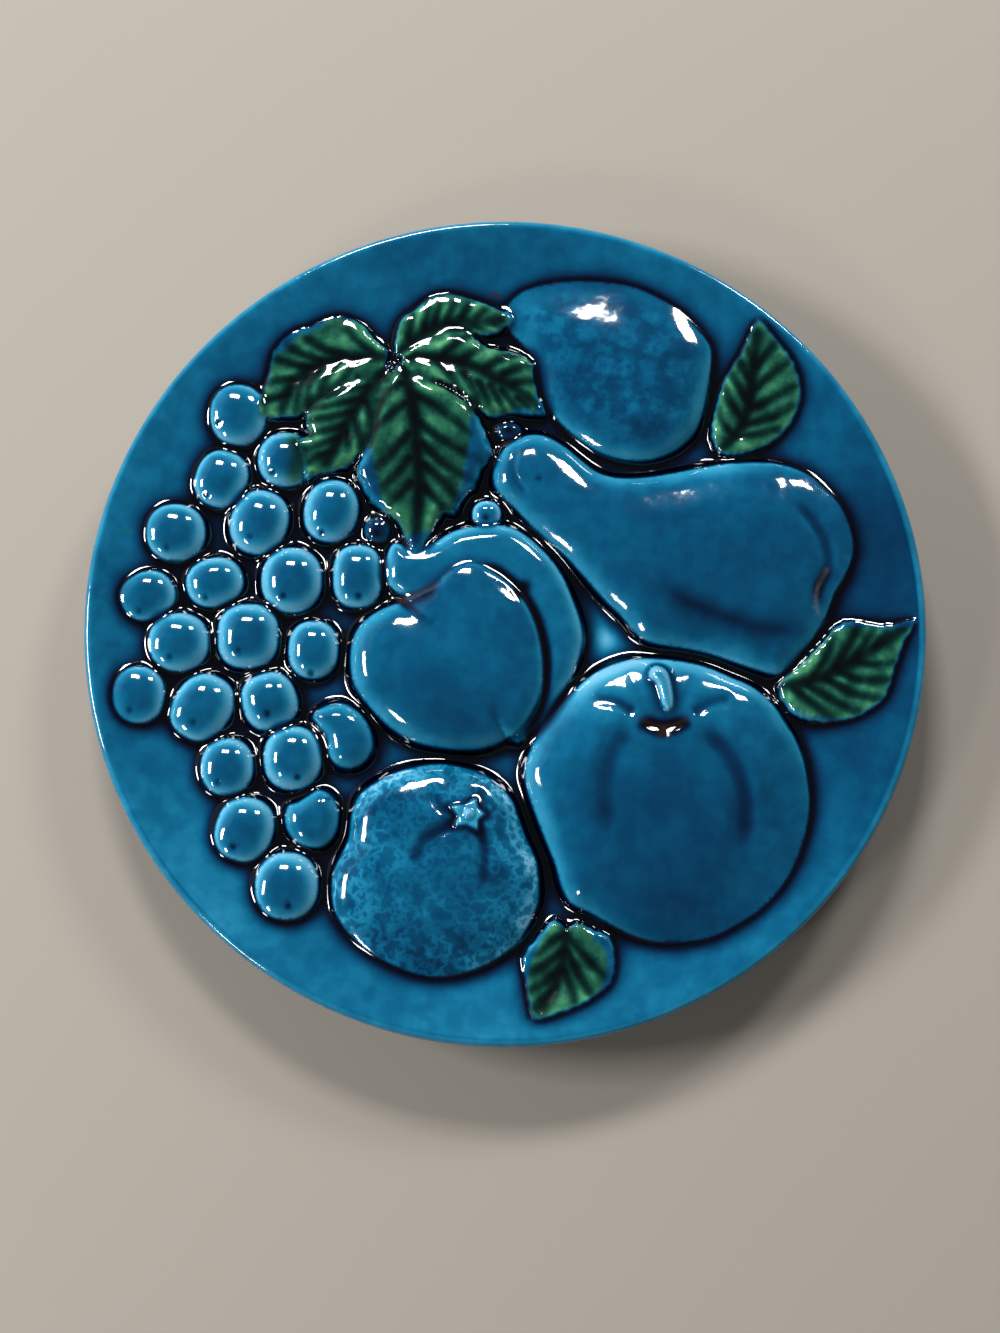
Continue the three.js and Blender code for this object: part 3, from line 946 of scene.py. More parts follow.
PEACH_FRONT = Fruit(
    "peach_front_half",
    [(11.5, -16), (11, -9), (9.5, -2), (7, 4), (3.5, 9), (-1, 13.2), (-6, 16), (-11, 17.2),
     (-15, 16), (-18.4, 13.3), (-21, 10.6), (-25, 8.4), (-29, 7), (-33.6, 6.4), (-38.3, 4.6),
     (-42.4, 2), (-45.8, -1.6), (-47.8, -7), (-48, -14), (-46.4, -20.5), (-42.5, -26),
     (-37, -31.8), (-30, -36.5), (-22, -39), (-12, -40), (-4, -38.8), (3, -34.8), (8, -29),
     (10.6, -22.5)],
    23.6, 20.0,
    [
        Furrow([(-34, 7), (-27, 8), (-20, 12)], 1.3, 2.6, taper=0.3, ink=4.0),
        Furrow([(4.5, 14.5)], 2.0, 7.0),
    ],
    tones=[Blot(-15, -34, 14, 0.6)],
)

APPLE = Fruit(
    "apple",
    [(93, -54), (92, -45), (90, -38), (87, -32), (83, -25.8), (77, -20.3), (70, -17),
     (62, -13.6), (54, -11.8), (46, -11), (39, -11.3), (32, -13.4), (26, -16.8), (20, -22),
     (14, -29), (10, -34), (7.4, -40), (5.8, -46), (6.5, -52), (8.8, -59), (12, -67.5),
     (15, -75), (17, -82), (20, -87), (26, -90), (33, -94), (40, -97.2), (48, -98.9),
     (56, -98.5), (63, -97), (70, -93.5), (77, -89), (83, -83), (87.5, -76), (90.8, -68),
     (92.6, -60.5)],
    24.0, 24.0,
    [
        Furrow([(40, -30.5), (44.5, -32.2), (48.5, -33), (52.5, -32.2), (57, -30)], 3.1, 2.0,
               taper=0.3, ink=6.0),
        Furrow([(48.5, -33)], 2.4, 4.6),
        Furrow([(48.5, -30)], 1.8, 9.0),
        Furrow([(42, -32), (36, -36), (32, -43), (30, -52), (30.5, -62), (33, -70)], 1.5, 4.6,
               taper=0.25, ink=0.4),
        Furrow([(55, -33), (62, -36), (67.5, -41.5), (71.5, -49), (73, -57), (72, -67),
                (69, -75)], 2.0, 4.2, taper=0.25, ink=0.6),
        Furrow([(76, -38), (80, -48), (81, -60), (78, -72)], 0.8, 6.5, taper=0.3),
        Furrow([(41, -30), (34, -25.5), (26, -24)], 1.9, 2.6, 0.5, 0.2, ink=0.9),
        Furrow([(56, -30), (62, -26), (71, -23.5)], 1.7, 2.6, 0.5, 0.2, ink=0.9),
        Furrow([(44, -27), (40, -21), (38, -15)], 0.8, 2.4, 0.5, 0.2, ink=0.4),
        Furrow([(53, -27), (56, -21), (58, -16)], 0.8, 2.4, 0.5, 0.2, ink=0.4),
    ],
    # Blot(34, -19) lightens the apple's upper-left shoulder: painted sheen near its highlight.
    tones=[Blot(50, -62, 24, 0.8), Blot(50, -94, 18, 0.9), Blot(34, -19, 17, -1.5),
           Blot(66, -22, 13, -0.9), Blot(12, -45, 10, -0.3)],
)

APPLE_STALK = Fruit(
    "apple_stalk",
    [(51.2, -24), (50.6, -19.5), (49.4, -16), (47, -14.4), (44.8, -15.4), (44.2, -18),
     (46, -19.8), (47, -23), (48, -26.5), (49.4, -28.6), (51, -27.5)],
    24.2, 3.0, roll=0.3, tone=-1.6, rise=0.0,
)

TANGERINE = Fruit(
    "tangerine",
    [(10.4, -82), (9.6, -74), (6.5, -67), (4, -60), (2, -55), (-2.5, -50), (-8, -46.6),
     (-14, -44.9), (-20, -44), (-27, -44.8), (-34, -46.8), (-40, -49.8), (-45, -54),
     (-47.2, -60), (-48, -67), (-50.2, -72), (-52.6, -78), (-52.8, -85), (-51, -91),
     (-46.5, -97), (-41, -101.7), (-34, -105.6), (-26, -108.5), (-18, -109), (-10, -107.2),
     (-3, -104), (3, -99.6), (7.6, -93), (10, -87)],
    23.8, 22.0,
    [
        Furrow([(-12, -60), (-18.5, -58.5), (-21.5, -54), (-21.5, -51)], 2.0, 2.4, 0.8),
        Furrow([(-12, -60), (-8.5, -55), (-9, -52)], 1.8, 2.4, 0.8),
        Furrow([(-12, -60), (-6, -60.5), (0, -61.5)], 1.8, 2.2, 0.9),
        Furrow([(-12, -60), (-18, -64), (-24, -67.5), (-27, -73)], 2.0, 2.4, 0.4, ink=1.2),
        Furrow([(-12, -60), (-7.5, -66), (-6.3, -72), (-6.5, -79)], 2.0, 2.2, 0.5, ink=1.2),
    ],
    peel=1.0, tones=[Blot(-25, -80, 26, -0.3), Blot(-20, -105, 12, 0.4)],
)

VINE_BLADES = [
    Leaf(
        "vine_blade_upper_left",
        [(-38, 83.5), (-37, 88.3), (-41, 91.5), (-45.5, 97), (-52, 99.4), (-57, 98.2),
         (-62, 95.7), (-68, 93.4), (-73.6, 87.2), (-75, 80), (-77, 74), (-78, 66), (-70, 66),
         (-64.5, 66.5), (-61, 70.5), (-54, 75.5), (-48, 78.5), (-42.5, 80.5)],
        [(-35, 86), (-45, 85.8), (-52, 85.2), (-58, 83.5), (-64, 80), (-68, 75), (-70, 68)],
        20.0, 1.5,
        [
            [(-42, 87), (-47, 91), (-50, 95)], [(-51, 86.5), (-58, 88.5), (-63, 92)],
            [(-58, 84.5), (-65, 87), (-69.5, 90)], [(-62, 82), (-68, 83.5), (-73, 85.5)],
            [(-66, 78.5), (-71, 78), (-75, 77)], [(-69, 73), (-73, 72), (-76.5, 70.5)],
            [(-47, 84.5), (-50, 80), (-52, 77)], [(-53, 84), (-56, 79), (-58, 75)],
            [(-58.5, 82), (-61.5, 77), (-62.5, 71)], [(-63, 79), (-65, 74), (-66, 68)],
        ],
        [[(-76, 84), (-73, 86.5), (-70, 88), (-66, 92), (-62, 94), (-57, 97), (-57, 101),
          (-70, 97), (-78, 90)]],
    ),
    Leaf(
        "vine_blade_lower_left",
        [(-42, 63), (-40.5, 70), (-38, 77), (-36, 84), (-42.5, 80.5), (-48, 78.5), (-54, 75.5),
         (-59, 72), (-62.5, 68.5), (-63, 64), (-62, 60), (-65, 57.6), (-63, 53), (-62.2, 45),
         (-58.5, 47.3), (-54, 48.3), (-49.5, 49.5), (-46, 52.5), (-43, 58)],
        [(-35, 85), (-42, 76.5), (-46, 70), (-50, 63.5), (-53, 57), (-56, 51)],
        20.0, 1.7,
        [
            [(-43, 76), (-50, 74.5), (-56, 72.5)], [(-45.5, 71.5), (-54, 69.5), (-61, 68)],
            [(-48, 67.5), (-55, 65.5), (-62.5, 64.3)], [(-50.5, 63), (-56, 61), (-61.5, 60)],
            [(-52.5, 59), (-57, 57), (-62, 55)], [(-54, 54.5), (-58, 53), (-62, 50.5)],
            [(-44, 71), (-42.5, 66)], [(-47.5, 65), (-46, 60), (-45, 56)],
            [(-50, 61), (-49, 55)],
        ],
    ),
    Leaf(
        "vine_blade_right",
        [(9.2, 79), (9, 83.4), (6, 86.5), (0, 88.2), (-5, 89), (-9, 92), (-13, 94.3),
         (-19, 93.5), (-24, 90.8), (-32, 87), (-32, 83), (-26, 79), (-19, 76.6), (-13, 73),
         (-8.3, 67.8), (-3, 65.8), (3, 67.2), (13, 66.8), (11, 72)],
        [(-33, 86), (-24, 85.6), (-16, 84.2), (-9, 82), (-4, 79), (1, 76.5), (6, 73), (11, 69)],
        20.0, 1.6,
        [
            [(-20, 86), (-14, 91), (-9, 93)], [(-13, 85), (-8, 88)],
            [(-6, 82), (0, 85), (5, 86.5)], [(-1, 79.5), (4, 81.5), (8.5, 83)],
            [(3, 76.5), (9, 77.5)], [(-21, 84), (-17, 79), (-15, 75)],
            [(-13, 80), (-9.5, 74), (-8.5, 70)], [(-8.5, 77), (-5.5, 71), (-4, 67)],
            [(-4.5, 76), (-1.5, 70), (0, 67)], [(-1, 74.5), (3, 69), (5, 67.5)],
            [(4, 72), (8, 69)],
        ],
        [[(9.5, 73), (10.5, 69.5), (9.5, 68), (4, 68.5), (3, 66), (14, 65), (13, 73)]],
    ),
    Leaf(
        "vine_blade_upper_right",
        [(2.3, 98.5), (-1.5, 101.6), (-9, 104.8), (-16, 106.9), (-21.5, 106.8), (-25.5, 104.8),
         (-29, 101.6), (-33, 98.8), (-34.7, 93.5), (-35, 87), (-31, 86), (-26, 89.5),
         (-20, 92.3), (-13, 93.6), (-7, 93), (-2, 94)],
        [(-34, 87), (-27, 93), (-21, 96), (-14, 97.6), (-7, 97.2), (-1, 98)],
        19.5, 1.5,
        [
            [(-30.5, 92), (-29.5, 100)], [(-25.5, 95), (-24, 104)], [(-22.5, 97), (-20, 105)],
            [(-18.5, 97.5), (-16, 104)], [(-14, 98.5), (-11, 104)], [(-9, 98.5), (-6, 102)],
            [(-17, 96), (-11, 94.5)], [(-10, 96.5), (-5, 94)], [(-4, 97), (-1, 95.5)],
        ],
    ),
    Leaf(
        "vine_blade_middle",
        [(-4.5, 57), (-7, 63.5), (-10, 69.5), (-14, 73), (-20, 76.5), (-28, 80), (-33, 84.5),
         (-36, 81), (-39, 75), (-41, 69), (-43, 58), (-47, 49), (-45, 43), (-42, 38.3),
         (-38.5, 35.3), (-34, 32), (-31, 26), (-27.8, 22.8), (-23.5, 27.2), (-19, 34.7),
         (-15.5, 34.2), (-12.8, 39.5), (-9.8, 42.3), (-7.2, 48.5), (-3.8, 53.5)],
        [(-34, 86), (-31, 78), (-29.5, 72), (-28, 60), (-27, 48), (-27, 38), (-27.7, 26)],
        20.5, 1.8,
        [
            [(-32.5, 77), (-37, 73), (-41, 66)], [(-31.5, 70), (-36, 66), (-43, 60)],
            [(-30.5, 60), (-35, 54), (-40, 49)], [(-30, 52), (-34, 47), (-38, 43)],
            [(-29.5, 44), (-33, 40), (-36, 37)], [(-28.5, 73), (-22, 69), (-11, 60)],
            [(-27, 64), (-20, 58), (-7, 51)], [(-26, 57), (-19, 50), (-9, 44)],
            [(-25.5, 50), (-19, 44), (-13.5, 37)], [(-25.5, 43), (-21, 38), (-18, 35)],
        ],
        [
            [(-43, 57), (-41, 50), (-40, 45), (-39, 40), (-37, 36), (-38, 33), (-46, 36),
             (-50, 50), (-46, 58)],
            [(-10.5, 66), (-11, 57), (-12.5, 50), (-13, 45), (-15, 40), (-17, 35), (-17, 32),
             (-8, 36), (-2, 54), (-5, 66)],
            [(-31, 27), (-29, 27.5), (-26.5, 27.5), (-24, 29), (-23, 25), (-28, 21)],
        ],
        tone=0.45,
    ),
]

SMALL_LEAVES = [
    Leaf(
        "upper_right_leaf",
        [(93.5, 73), (91, 83), (86, 90), (80, 97.3), (77, 91.5), (73.5, 85), (69.5, 79),
         (66, 68), (65, 59.5), (68, 54.6), (73, 54), (79, 55.5), (85, 58.6), (90.5, 64.5)],
        [(68, 56), (73, 61), (76, 67), (78, 75), (79, 85), (79.6, 92)],
        18.5, 0.8,
        [
            [(72, 59.5), (79, 60.5), (86, 62.5)], [(75, 63.5), (84, 66), (90, 69)],
            [(77, 68.5), (84, 72), (91.5, 75.5)], [(78.3, 75), (84, 79.5), (89, 83)],
            [(79, 82), (82.5, 86), (85, 89)], [(79, 84), (77, 88)],
            [(78.5, 77), (75.5, 82), (73.5, 85.5)], [(77.5, 70), (74, 76), (71.5, 81)],
            [(75.5, 65), (71.5, 70.5), (69.5, 76.5)], [(72, 60), (68.5, 64.5), (67, 70)],
        ],
    ),
    Leaf(
        "right_leaf",
        [(126.6, 0), (120, -1.2), (114, -0.6), (108, 0.8), (102.5, -1), (98, -6), (92, -12),
         (84, -20), (87.5, -28), (94, -31), (103, -31), (110, -29), (117, -23.8), (120, -15),
         (123, -7)],
        [(85, -20), (92, -19), (98, -17), (104, -14), (112, -9.6), (119, -5), (124, -1.5)],
        19.0, 0.8,
        [
            [(95, -17.5), (98.5, -12), (101, -6), (102, -3)],
            [(102, -14.5), (105, -9), (108, -4), (109.5, -1)],
            [(108.5, -11), (111.5, -6.5), (114, -2.5)], [(114.5, -7.5), (118, -3.5)],
            [(108, -12), (114, -13.5), (120, -13)], [(103, -15), (109, -18), (118.5, -18.5)],
            [(99, -17.5), (107, -22), (115, -24.5)], [(93, -19.5), (100, -24), (109, -28.5)],
            [(88, -20), (94, -25), (101, -30.5)],
        ],
        [[(101, -2.5), (108, -1), (117, -2.5), (126, -1.5), (128, 2), (108, 4), (100, 0)],
         [(84, -24), (88, -26.5), (93, -29.3), (100, -30), (100, -33), (88, -32)]],
    ),
    Leaf(
        "bottom_leaf",
        [(33.3, -103), (31.5, -96.6), (27, -94.8), (21.5, -92.4), (18.5, -94.5), (15, -91.4),
         (10, -96.5), (5.2, -103), (5.8, -109), (7, -116), (8.3, -122), (15, -120.4),
         (22, -117.8), (28, -114.2), (32, -110.5)],
        [(18.5, -94), (18, -100), (16.8, -106), (14.5, -113), (11, -118.5)],
        19.0, 0.8,
        [
            [(18.8, -97), (23, -101.5), (27, -106), (31, -110)],
            [(18.5, -101), (22, -108), (25, -113), (26.5, -115)],
            [(17.5, -107), (19.5, -112), (21, -117)], [(18, -96.5), (14, -98.5), (10, -102)],
            [(17.8, -101), (13, -104.5), (8, -107.5)], [(16.5, -107), (12, -110.5), (7.5, -113)],
            [(15, -112), (12, -115), (9, -118)],
        ],
        [[(14, -93), (12, -96), (9, -101), (7, -107), (6.5, -111), (4, -111), (3, -100),
          (10, -92)],
         [(25, -95), (30, -101), (31, -107), (29.5, -112), (34, -111), (35, -98), (28, -93)]],
    ),
]


class Stain(Enum):
    """What a small mark in the glaze is made of, and the clay face's mask that holds it."""

    DIRT = "dirt"
    BARE_CLAY = "bare"
    GREEN = "paint"
    # Deep glaze. The mark in the apple's dimple is painted shadow.
    DEEP_GLAZE_AND_SHADE = "tone"


@dataclass
class KilnMark:
    """A small mark: a speck, a chip, a drip of green, a place that kept dirt, deep glaze or painted
    shadow.

    Attributes:
        stain: what it is made of.
        path: where it lies. A single point makes a speck.
        spread: how wide it is.
        amount: how strong it is.
    """

    stain: Stain
    path: Path
    spread: float
    amount: float = 1.0

    def stain_face(self, face: ClayFace) -> None:
        """Adds the mark to the face's mask.

        Args:
            face: the clay with every mound on it.
        """
        here, x, y = face.raster.around(np.array(self.path), 3 * self.spread + 1)
        mask = getattr(face, self.stain.value)
        mask[here] += Furrow(self.path, self.amount, self.spread).pressed(x, y)


KILN_MARKS = [
    KilnMark(Stain.DIRT, [(41, -31), (44.5, -32.4), (48.5, -33.2), (52.5, -32.4), (56, -30.6)],
             0.6, 0.5),
    KilnMark(Stain.DIRT, [(48.5, -34), (47.5, -36)], 0.9, 0.8),
    KilnMark(Stain.DIRT, [(-33, 7.2), (-27, 8.6), (-22, 11)], 1.0, 0.8),
    KilnMark(Stain.DIRT, [(-4, 107), (-2, 106.6)], 0.7, 0.8),
    KilnMark(Stain.DIRT, [(16, 110.6)], 0.5, 0.7),
    KilnMark(Stain.DIRT, [(5.4, 54.2)], 0.8, 0.7),
    KilnMark(Stain.BARE_CLAY, [(100, 16.5), (97.3, 12), (96.2, 7), (97, 2)], 0.5, 0.12),
    KilnMark(Stain.BARE_CLAY, [(-127.6, 21)], 0.7, 0.8),
    KilnMark(Stain.BARE_CLAY, [(97, -84.5)], 0.7, 0.5),
    KilnMark(Stain.GREEN, [(-117.5, 29.5)], 0.8, 0.8),
    KilnMark(Stain.GREEN, [(-66.5, 58), (-64.5, 52.5), (-66, 47)], 2.6),
    KilnMark(Stain.DEEP_GLAZE_AND_SHADE, [(3.0, 8.0), (6.0, 11.0)], 1.7, 6.0),
    # Painted shadow: the black crescent under the apple's stalk.
    KilnMark(Stain.DEEP_GLAZE_AND_SHADE, [(42, -33.2), (48.5, -35.6), (55, -33)], 1.3, 5.0),
    KilnMark(Stain.DEEP_GLAZE_AND_SHADE, [(-66, 57), (-65, 52.5), (-66, 48)], 2.4, 2.2),
    KilnMark(Stain.DEEP_GLAZE_AND_SHADE, [(-54, -55)], 0.6, 3.0),
    KilnMark(Stain.DEEP_GLAZE_AND_SHADE, [(10.5, 45)], 0.7, 2.5),
]


@dataclass
class GlazeCoat:
    """The glaze over the clay: it runs off steep places and pools in the hollows. Painted shade
    darkens it around the mounds' feet.

    Attributes:
        clay_softness: how far the wet clay's edges are rounded, in mm.
        fillets: each fillet's reach in mm, and how much of the hollow it fills.
        leaf_fill: the share of the fillets that is left on the leaves.
        leaf_softness: how softly that share begins at a leaf's edge, in mm.
        most_filled: how many mm of a filled crevice still count.
        skin: how far the glaze's own surface is smoothed, in mm.
        plain_depth: how deep the glaze looks on plain ground.
        mound_extra: how much deeper it looks on a mound.
        thin_on_steep: how much thinner it is on a steep side.
        steep: the slopes at which that starts and is full.
        steep_softness: how far those slopes are smoothed, in mm.
        steep_spared: how much of it a mm of filled crevice takes away.
        pool_depth: how much deeper it looks for each mm that fills a crevice.
        wide_pool_depth: the same for each mm of a wide hollow.
        hollow_reach: how wide that hollow is.
        most_hollow: how many mm of its depth still count.
        foot_depth: how much deeper it looks right at a mound's foot, a dark line of pooled glaze and
            painted shade.
        foot_reach: how far out the foot's dark line reaches.
        foot_share: blurred share of mound at which that starts and is full.
        halo_depth: how much deeper it looks in the painted shade around a mound.
        halo_reach: how far out that shade reaches.
        halo_share: blurred share of mound at which that starts and is full.
        leaf_depth: how deep the green looks on a leaf.
        vein_depth: how much deeper it looks in a vein.
        blue_vein_share: how much of that a vein keeps in a leaf's blue margin.
        leaf_patches: how uneven the green is.
        patch_pitch: how closely its patches follow each other.
        fine_depth: how much deeper the green looks for each mm of a narrow hollow.
        fine_range: the highest narrow ridge and the deepest narrow hollow that count.
        leaf_pool_depth: the same for each mm of a wide hollow.
        most_leaf_hollow: how many mm of such a hollow still count.
        paint_softness: how softly the green meets the blue, in mm.
        depth_softness: how far the glaze's depth is smoothed, in mm.
        depth_range: the thinnest and the thickest glaze.
    """

    raster: Raster
    clay_softness: float = 0.25
    fillets: tuple[Span, Span] = ((1.1, 0.9), (2.1, 0.6))
    leaf_fill: float = 0.35
    leaf_softness: float = 0.8
    most_filled: float = 1.6
    skin: float = 0.28
    plain_depth: float = 2.45
    mound_extra: float = 0.65
    thin_on_steep: float = 1.85
    steep: Span = (0.25, 0.9)
    steep_softness: float = 0.4
    steep_spared: float = 2.5
    pool_depth: float = 3.4
    wide_pool_depth: float = 1.5
    hollow_reach: float = 2.8
    most_hollow: float = 2.4
    foot_depth: float = 5.0
    foot_reach: float = 1.6
    foot_share: Span = (0.1, 0.42)
    halo_depth: float = 2.0
    halo_reach: float = 4.0
    halo_share: Span = (0.05, 0.5)
    leaf_depth: float = 2.2
    vein_depth: float = 3.7
    blue_vein_share: float = 0.7
    leaf_patches: float = 0.45
    patch_pitch: float = 0.16
    fine_depth: float = 6.0
    fine_range: Span = (-0.2, 0.5)
    leaf_pool_depth: float = 2.4
    most_leaf_hollow: float = 1.5
    paint_softness: float = 0.3
    depth_softness: float = 0.2
    depth_range: Span = (0.2, 12)

    def pour(self, face: ClayFace) -> None:
        """Works out the glaze's surface and how deep it looks at each cell.

        Args:
            face: the clay under the glaze.
        """
        blur = self.raster.blur
        clay = blur(face.stand, self.clay_softness)
        filled = clay
        for reach, share in self.fillets:
            filled = filled + share * np.maximum(0, blur(filled, reach) - filled)
        plain = blur(np.clip(1 - face.leaf, 0, 1), self.leaf_softness)
        mixed = clay + (filled - clay) * (self.leaf_fill + (1 - self.leaf_fill) * plain)
        self.surface = blur(mixed, self.skin)
        pool = np.clip(mixed - clay, 0, self.most_filled)
        hollow = np.clip(blur(clay, self.hollow_reach) - clay, 0, self.most_hollow)
        depth = self.blue_depth(face, pool, hollow)
        green = self.green_depth(face, blur(clay, self.fillets[0][0]) - clay, hollow)
        depth = depth + (green - depth) * blur(face.paint, self.paint_softness)
        self.depth = np.clip(blur(depth, self.depth_softness), *self.depth_range)

    def blue_depth(self, face: ClayFace, pool: np.ndarray, hollow: np.ndarray) -> np.ndarray:
        """How deep the blue glaze looks at each cell.

        Args:
            face: the clay under the glaze.
            pool: how many mm of glaze fill the crevices.
            hollow: how deep the wide hollows are, in mm.

        Returns:
            The depth.
        """
        blur = self.raster.blur
        ground = 1 - face.mound
        near_foot = smoothstep(*self.foot_share, blur(face.mound, self.foot_reach)) * ground
        near_mound = smoothstep(*self.halo_share, blur(face.mound, self.halo_reach)) * ground
        slope = np.hypot(*self.raster.slope(blur(self.surface, self.steep_softness)))
        unfilled = 1 - np.clip(pool * self.steep_spared, 0, 1)
        bare_side = smoothstep(*self.steep, slope) * unfilled * face.mound
        depth = self.plain_depth + self.mound_extra * face.mound + face.tone
        depth = depth + self.pool_depth * pool + self.wide_pool_depth * hollow
        # Painted shade: a dark line at each mound's foot and a wider shade around it, partly pooled
        # glaze.
        depth = depth + self.foot_depth * near_foot + self.halo_depth * near_mound
        depth = depth - self.thin_on_steep * bare_side
        return depth + self.blue_vein_share * self.vein_depth * face.vein * face.leaf

    def green_depth(self, face: ClayFace, fine: np.ndarray, hollow: np.ndarray) -> np.ndarray:
        """How deep the green glaze looks at each cell.

        Args:
            face: the clay under the glaze.
            fine: how deep the narrow hollows are, in mm, and below 0 on ridges.
            hollow: how deep the wide hollows are, in mm.

        Returns:
            The depth.
        """
        patchy = unsteady(self.patch_pitch * self.raster.x, self.patch_pitch * self.raster.y)
        green = self.leaf_depth + self.vein_depth * face.vein + face.tone
        green = green + self.leaf_patches * patchy
        green = green + self.fine_depth * np.clip(fine, *self.fine_range)
        return green + self.leaf_pool_depth * np.clip(hollow, 0, self.most_leaf_hollow)


@dataclass
class PlateProfile:
    """The turned part of the plate: lip, rim, back and foot ring.

    Attributes:
        joint_radius: where the turned part meets the face.
        joint_depth: how deep the glaze looks there.
        steps: points around the plate.
        rows: radius, stand and the glaze's depth, from the lip round the back to the recess.
        axis_stand: stand of the recess's middle.
        foot_ring: the foot ring's inner and outer radius.
        bare_stand: the foot ring is bare clay up to this stand.
        wire_hole_radius: radius of the two wire holes.
        wire_hole_stand: their distance from the wall.
        wire_hole_aside: their distance from the upright through the middle.
        wire_hole_sides: flat sides of a hole.
        drill_length: how far a hole is drilled, more than enough for the ring.
    """

    joint_radius: float = 127.2
    joint_depth: float = 2.3
    steps: int = 512
    rows: list[Triple] = field(default_factory=lambda: [
        (127.8, 21.56, 2.4), (128.2, 21.6, 2.1), (128.6, 21.54, 1.7), (129.0, 21.38, 1.5),
        (129.4, 21.1, 1.5), (129.8, 20.6, 1.6), (130.0, 20.0, 1.7),
        (129.7, 19.3, 1.2), (129.0, 18.6, 1.6), (126.0, 16.8, 2.0), (121.0, 14.0, 2.2),
        (111.0, 10.0, 2.4), (97.0, 7.2, 2.5), (84.0, 5.4, 2.6), (80.6, 4.8, 3.2),
        (79.2, 4.0, 3.6), (78.4, 2.4, 2.2), (78.0, 0.7, 1.0), (77.4, 0.0, 0.4),
        (72.6, 0.0, 0.4), (72.0, 0.7, 1.0), (71.8, 5.4, 3.2), (70.4, 6.8, 3.6),
        (66.0, 7.0, 2.6), (36.0, 7.0, 2.4),
    ])
    axis_stand: float = 7.0
    foot_ring: Span = (71.0, 79.0)
    bare_stand: float = 0.9
    wire_hole_radius: float = 1.5
    wire_hole_stand: float = 2.8
    wire_hole_aside: float = 12.0
    wire_hole_sides: int = 20
    drill_length: float = 16.0

    def ring(self) -> tuple[np.ndarray, np.ndarray]:
        """Cosines and sines of the turned points' angles."""
        angle = 2 * math.pi * np.arange(self.steps) / self.steps
        return np.cos(angle), np.sin(angle)


@dataclass
class PointLattice:
    """A lattice of points that is finer where the surface or its colour changes fast.

    Attributes:
        finest: the smallest spacing, in mm.
        level_ratio: how much coarser each level is than the one before.
        levels: how many spacings there are.
        target: how many points to aim for.
        rounds: how often the spacing is corrected towards that.
        colour_weight: how much a change of the glaze's depth counts.
        edge_weight: how much the edge of a mark or of paint counts.
        least_need: what even the plainest place needs.
        need_reach: how far a place's need spreads, in mm.
        row_gap: distance between a hexagonal lattice's rows, as a share of its spacing.
        fill: points in a square as wide as the spacing.
    """

    finest: float = 0.45
    level_ratio: float = 1.4
    levels: int = 5
    target: int = 78000
    rounds: int = 24
    colour_weight: float = 0.22
    edge_weight: float = 0.7
    least_need: float = 0.02
    need_reach: float = 1.0
    row_gap: float = 0.866
    fill: float = 1.1547

    def spacing(self, raster: Raster, coat: GlazeCoat, face: ClayFace) -> np.ndarray:
        """How far apart the points may be, up to a scale that is the same everywhere.

        Args:
            raster: the grid.
            coat: the glaze.
            face: the clay under it.

        Returns:
            One value a cell.
        """
        along_x, along_y = raster.slope(coat.surface)
        xx, xy = raster.slope(along_x)
        _, yy = raster.slope(along_y)
        bend = np.sqrt(xx**2 + 2 * xy**2 + yy**2)
        shade = np.hypot(*raster.slope(coat.depth))
        edge = np.hypot(*raster.slope(face.paint + face.dirt + face.bare))
        need = bend + self.colour_weight * shade + self.edge_weight * edge + self.least_need
        need = np.maximum(need, raster.blur(need, self.need_reach))
        return 1 / np.sqrt(need)

    def level_of(self, size: np.ndarray) -> np.ndarray:
        """Each spacing's level. The finest level is 0."""
        return np.floor(np.log(size / self.finest) / np.log(self.level_ratio) + 1e-6).astype(int)

    def scatter(self, raster: Raster, spacing: np.ndarray, radius: float) -> np.ndarray:
        """Chooses the points inside a circle.

        Args:
            raster: the grid.
            spacing: how far apart the points may be at each cell.
            radius: the circle's radius.

        Returns:
            The points, one a row.
        """
        steps = self.finest * self.level_ratio ** np.arange(self.levels)
        inside = np.hypot(raster.x, raster.y) < radius
        scale = 0.6
        for _ in range(self.rounds):
            sizes = np.clip(spacing[inside] * scale, steps[0], steps[-1])
            sizes = steps[self.level_of(sizes)]
            count = (raster.step**2 * self.fill / sizes**2).sum()
            scale *= (count / self.target) ** 0.5
        chosen = []
        for level, step in enumerate(steps):
            rows = int(raster.size * raster.step / 2 / (step * self.row_gap)) + 1
            i, j = np.meshgrid(np.arange(-rows, rows + 1), np.arange(-rows, rows + 1))
            grid = np.stack([(i + 0.5 * (j % 2)) * step, j * step * self.row_gap], -1)
            grid = grid.reshape(-1, 2)
            grid = grid[np.hypot(grid[:, 0], grid[:, 1]) < radius]
            size = np.clip(raster.at(spacing, grid) * scale, steps[0], steps[-1])
            chosen.append(grid[self.level_of(size) == level])
        LOG.info("face points by level: %s", [len(part) for part in chosen])
        return np.vstack(chosen)


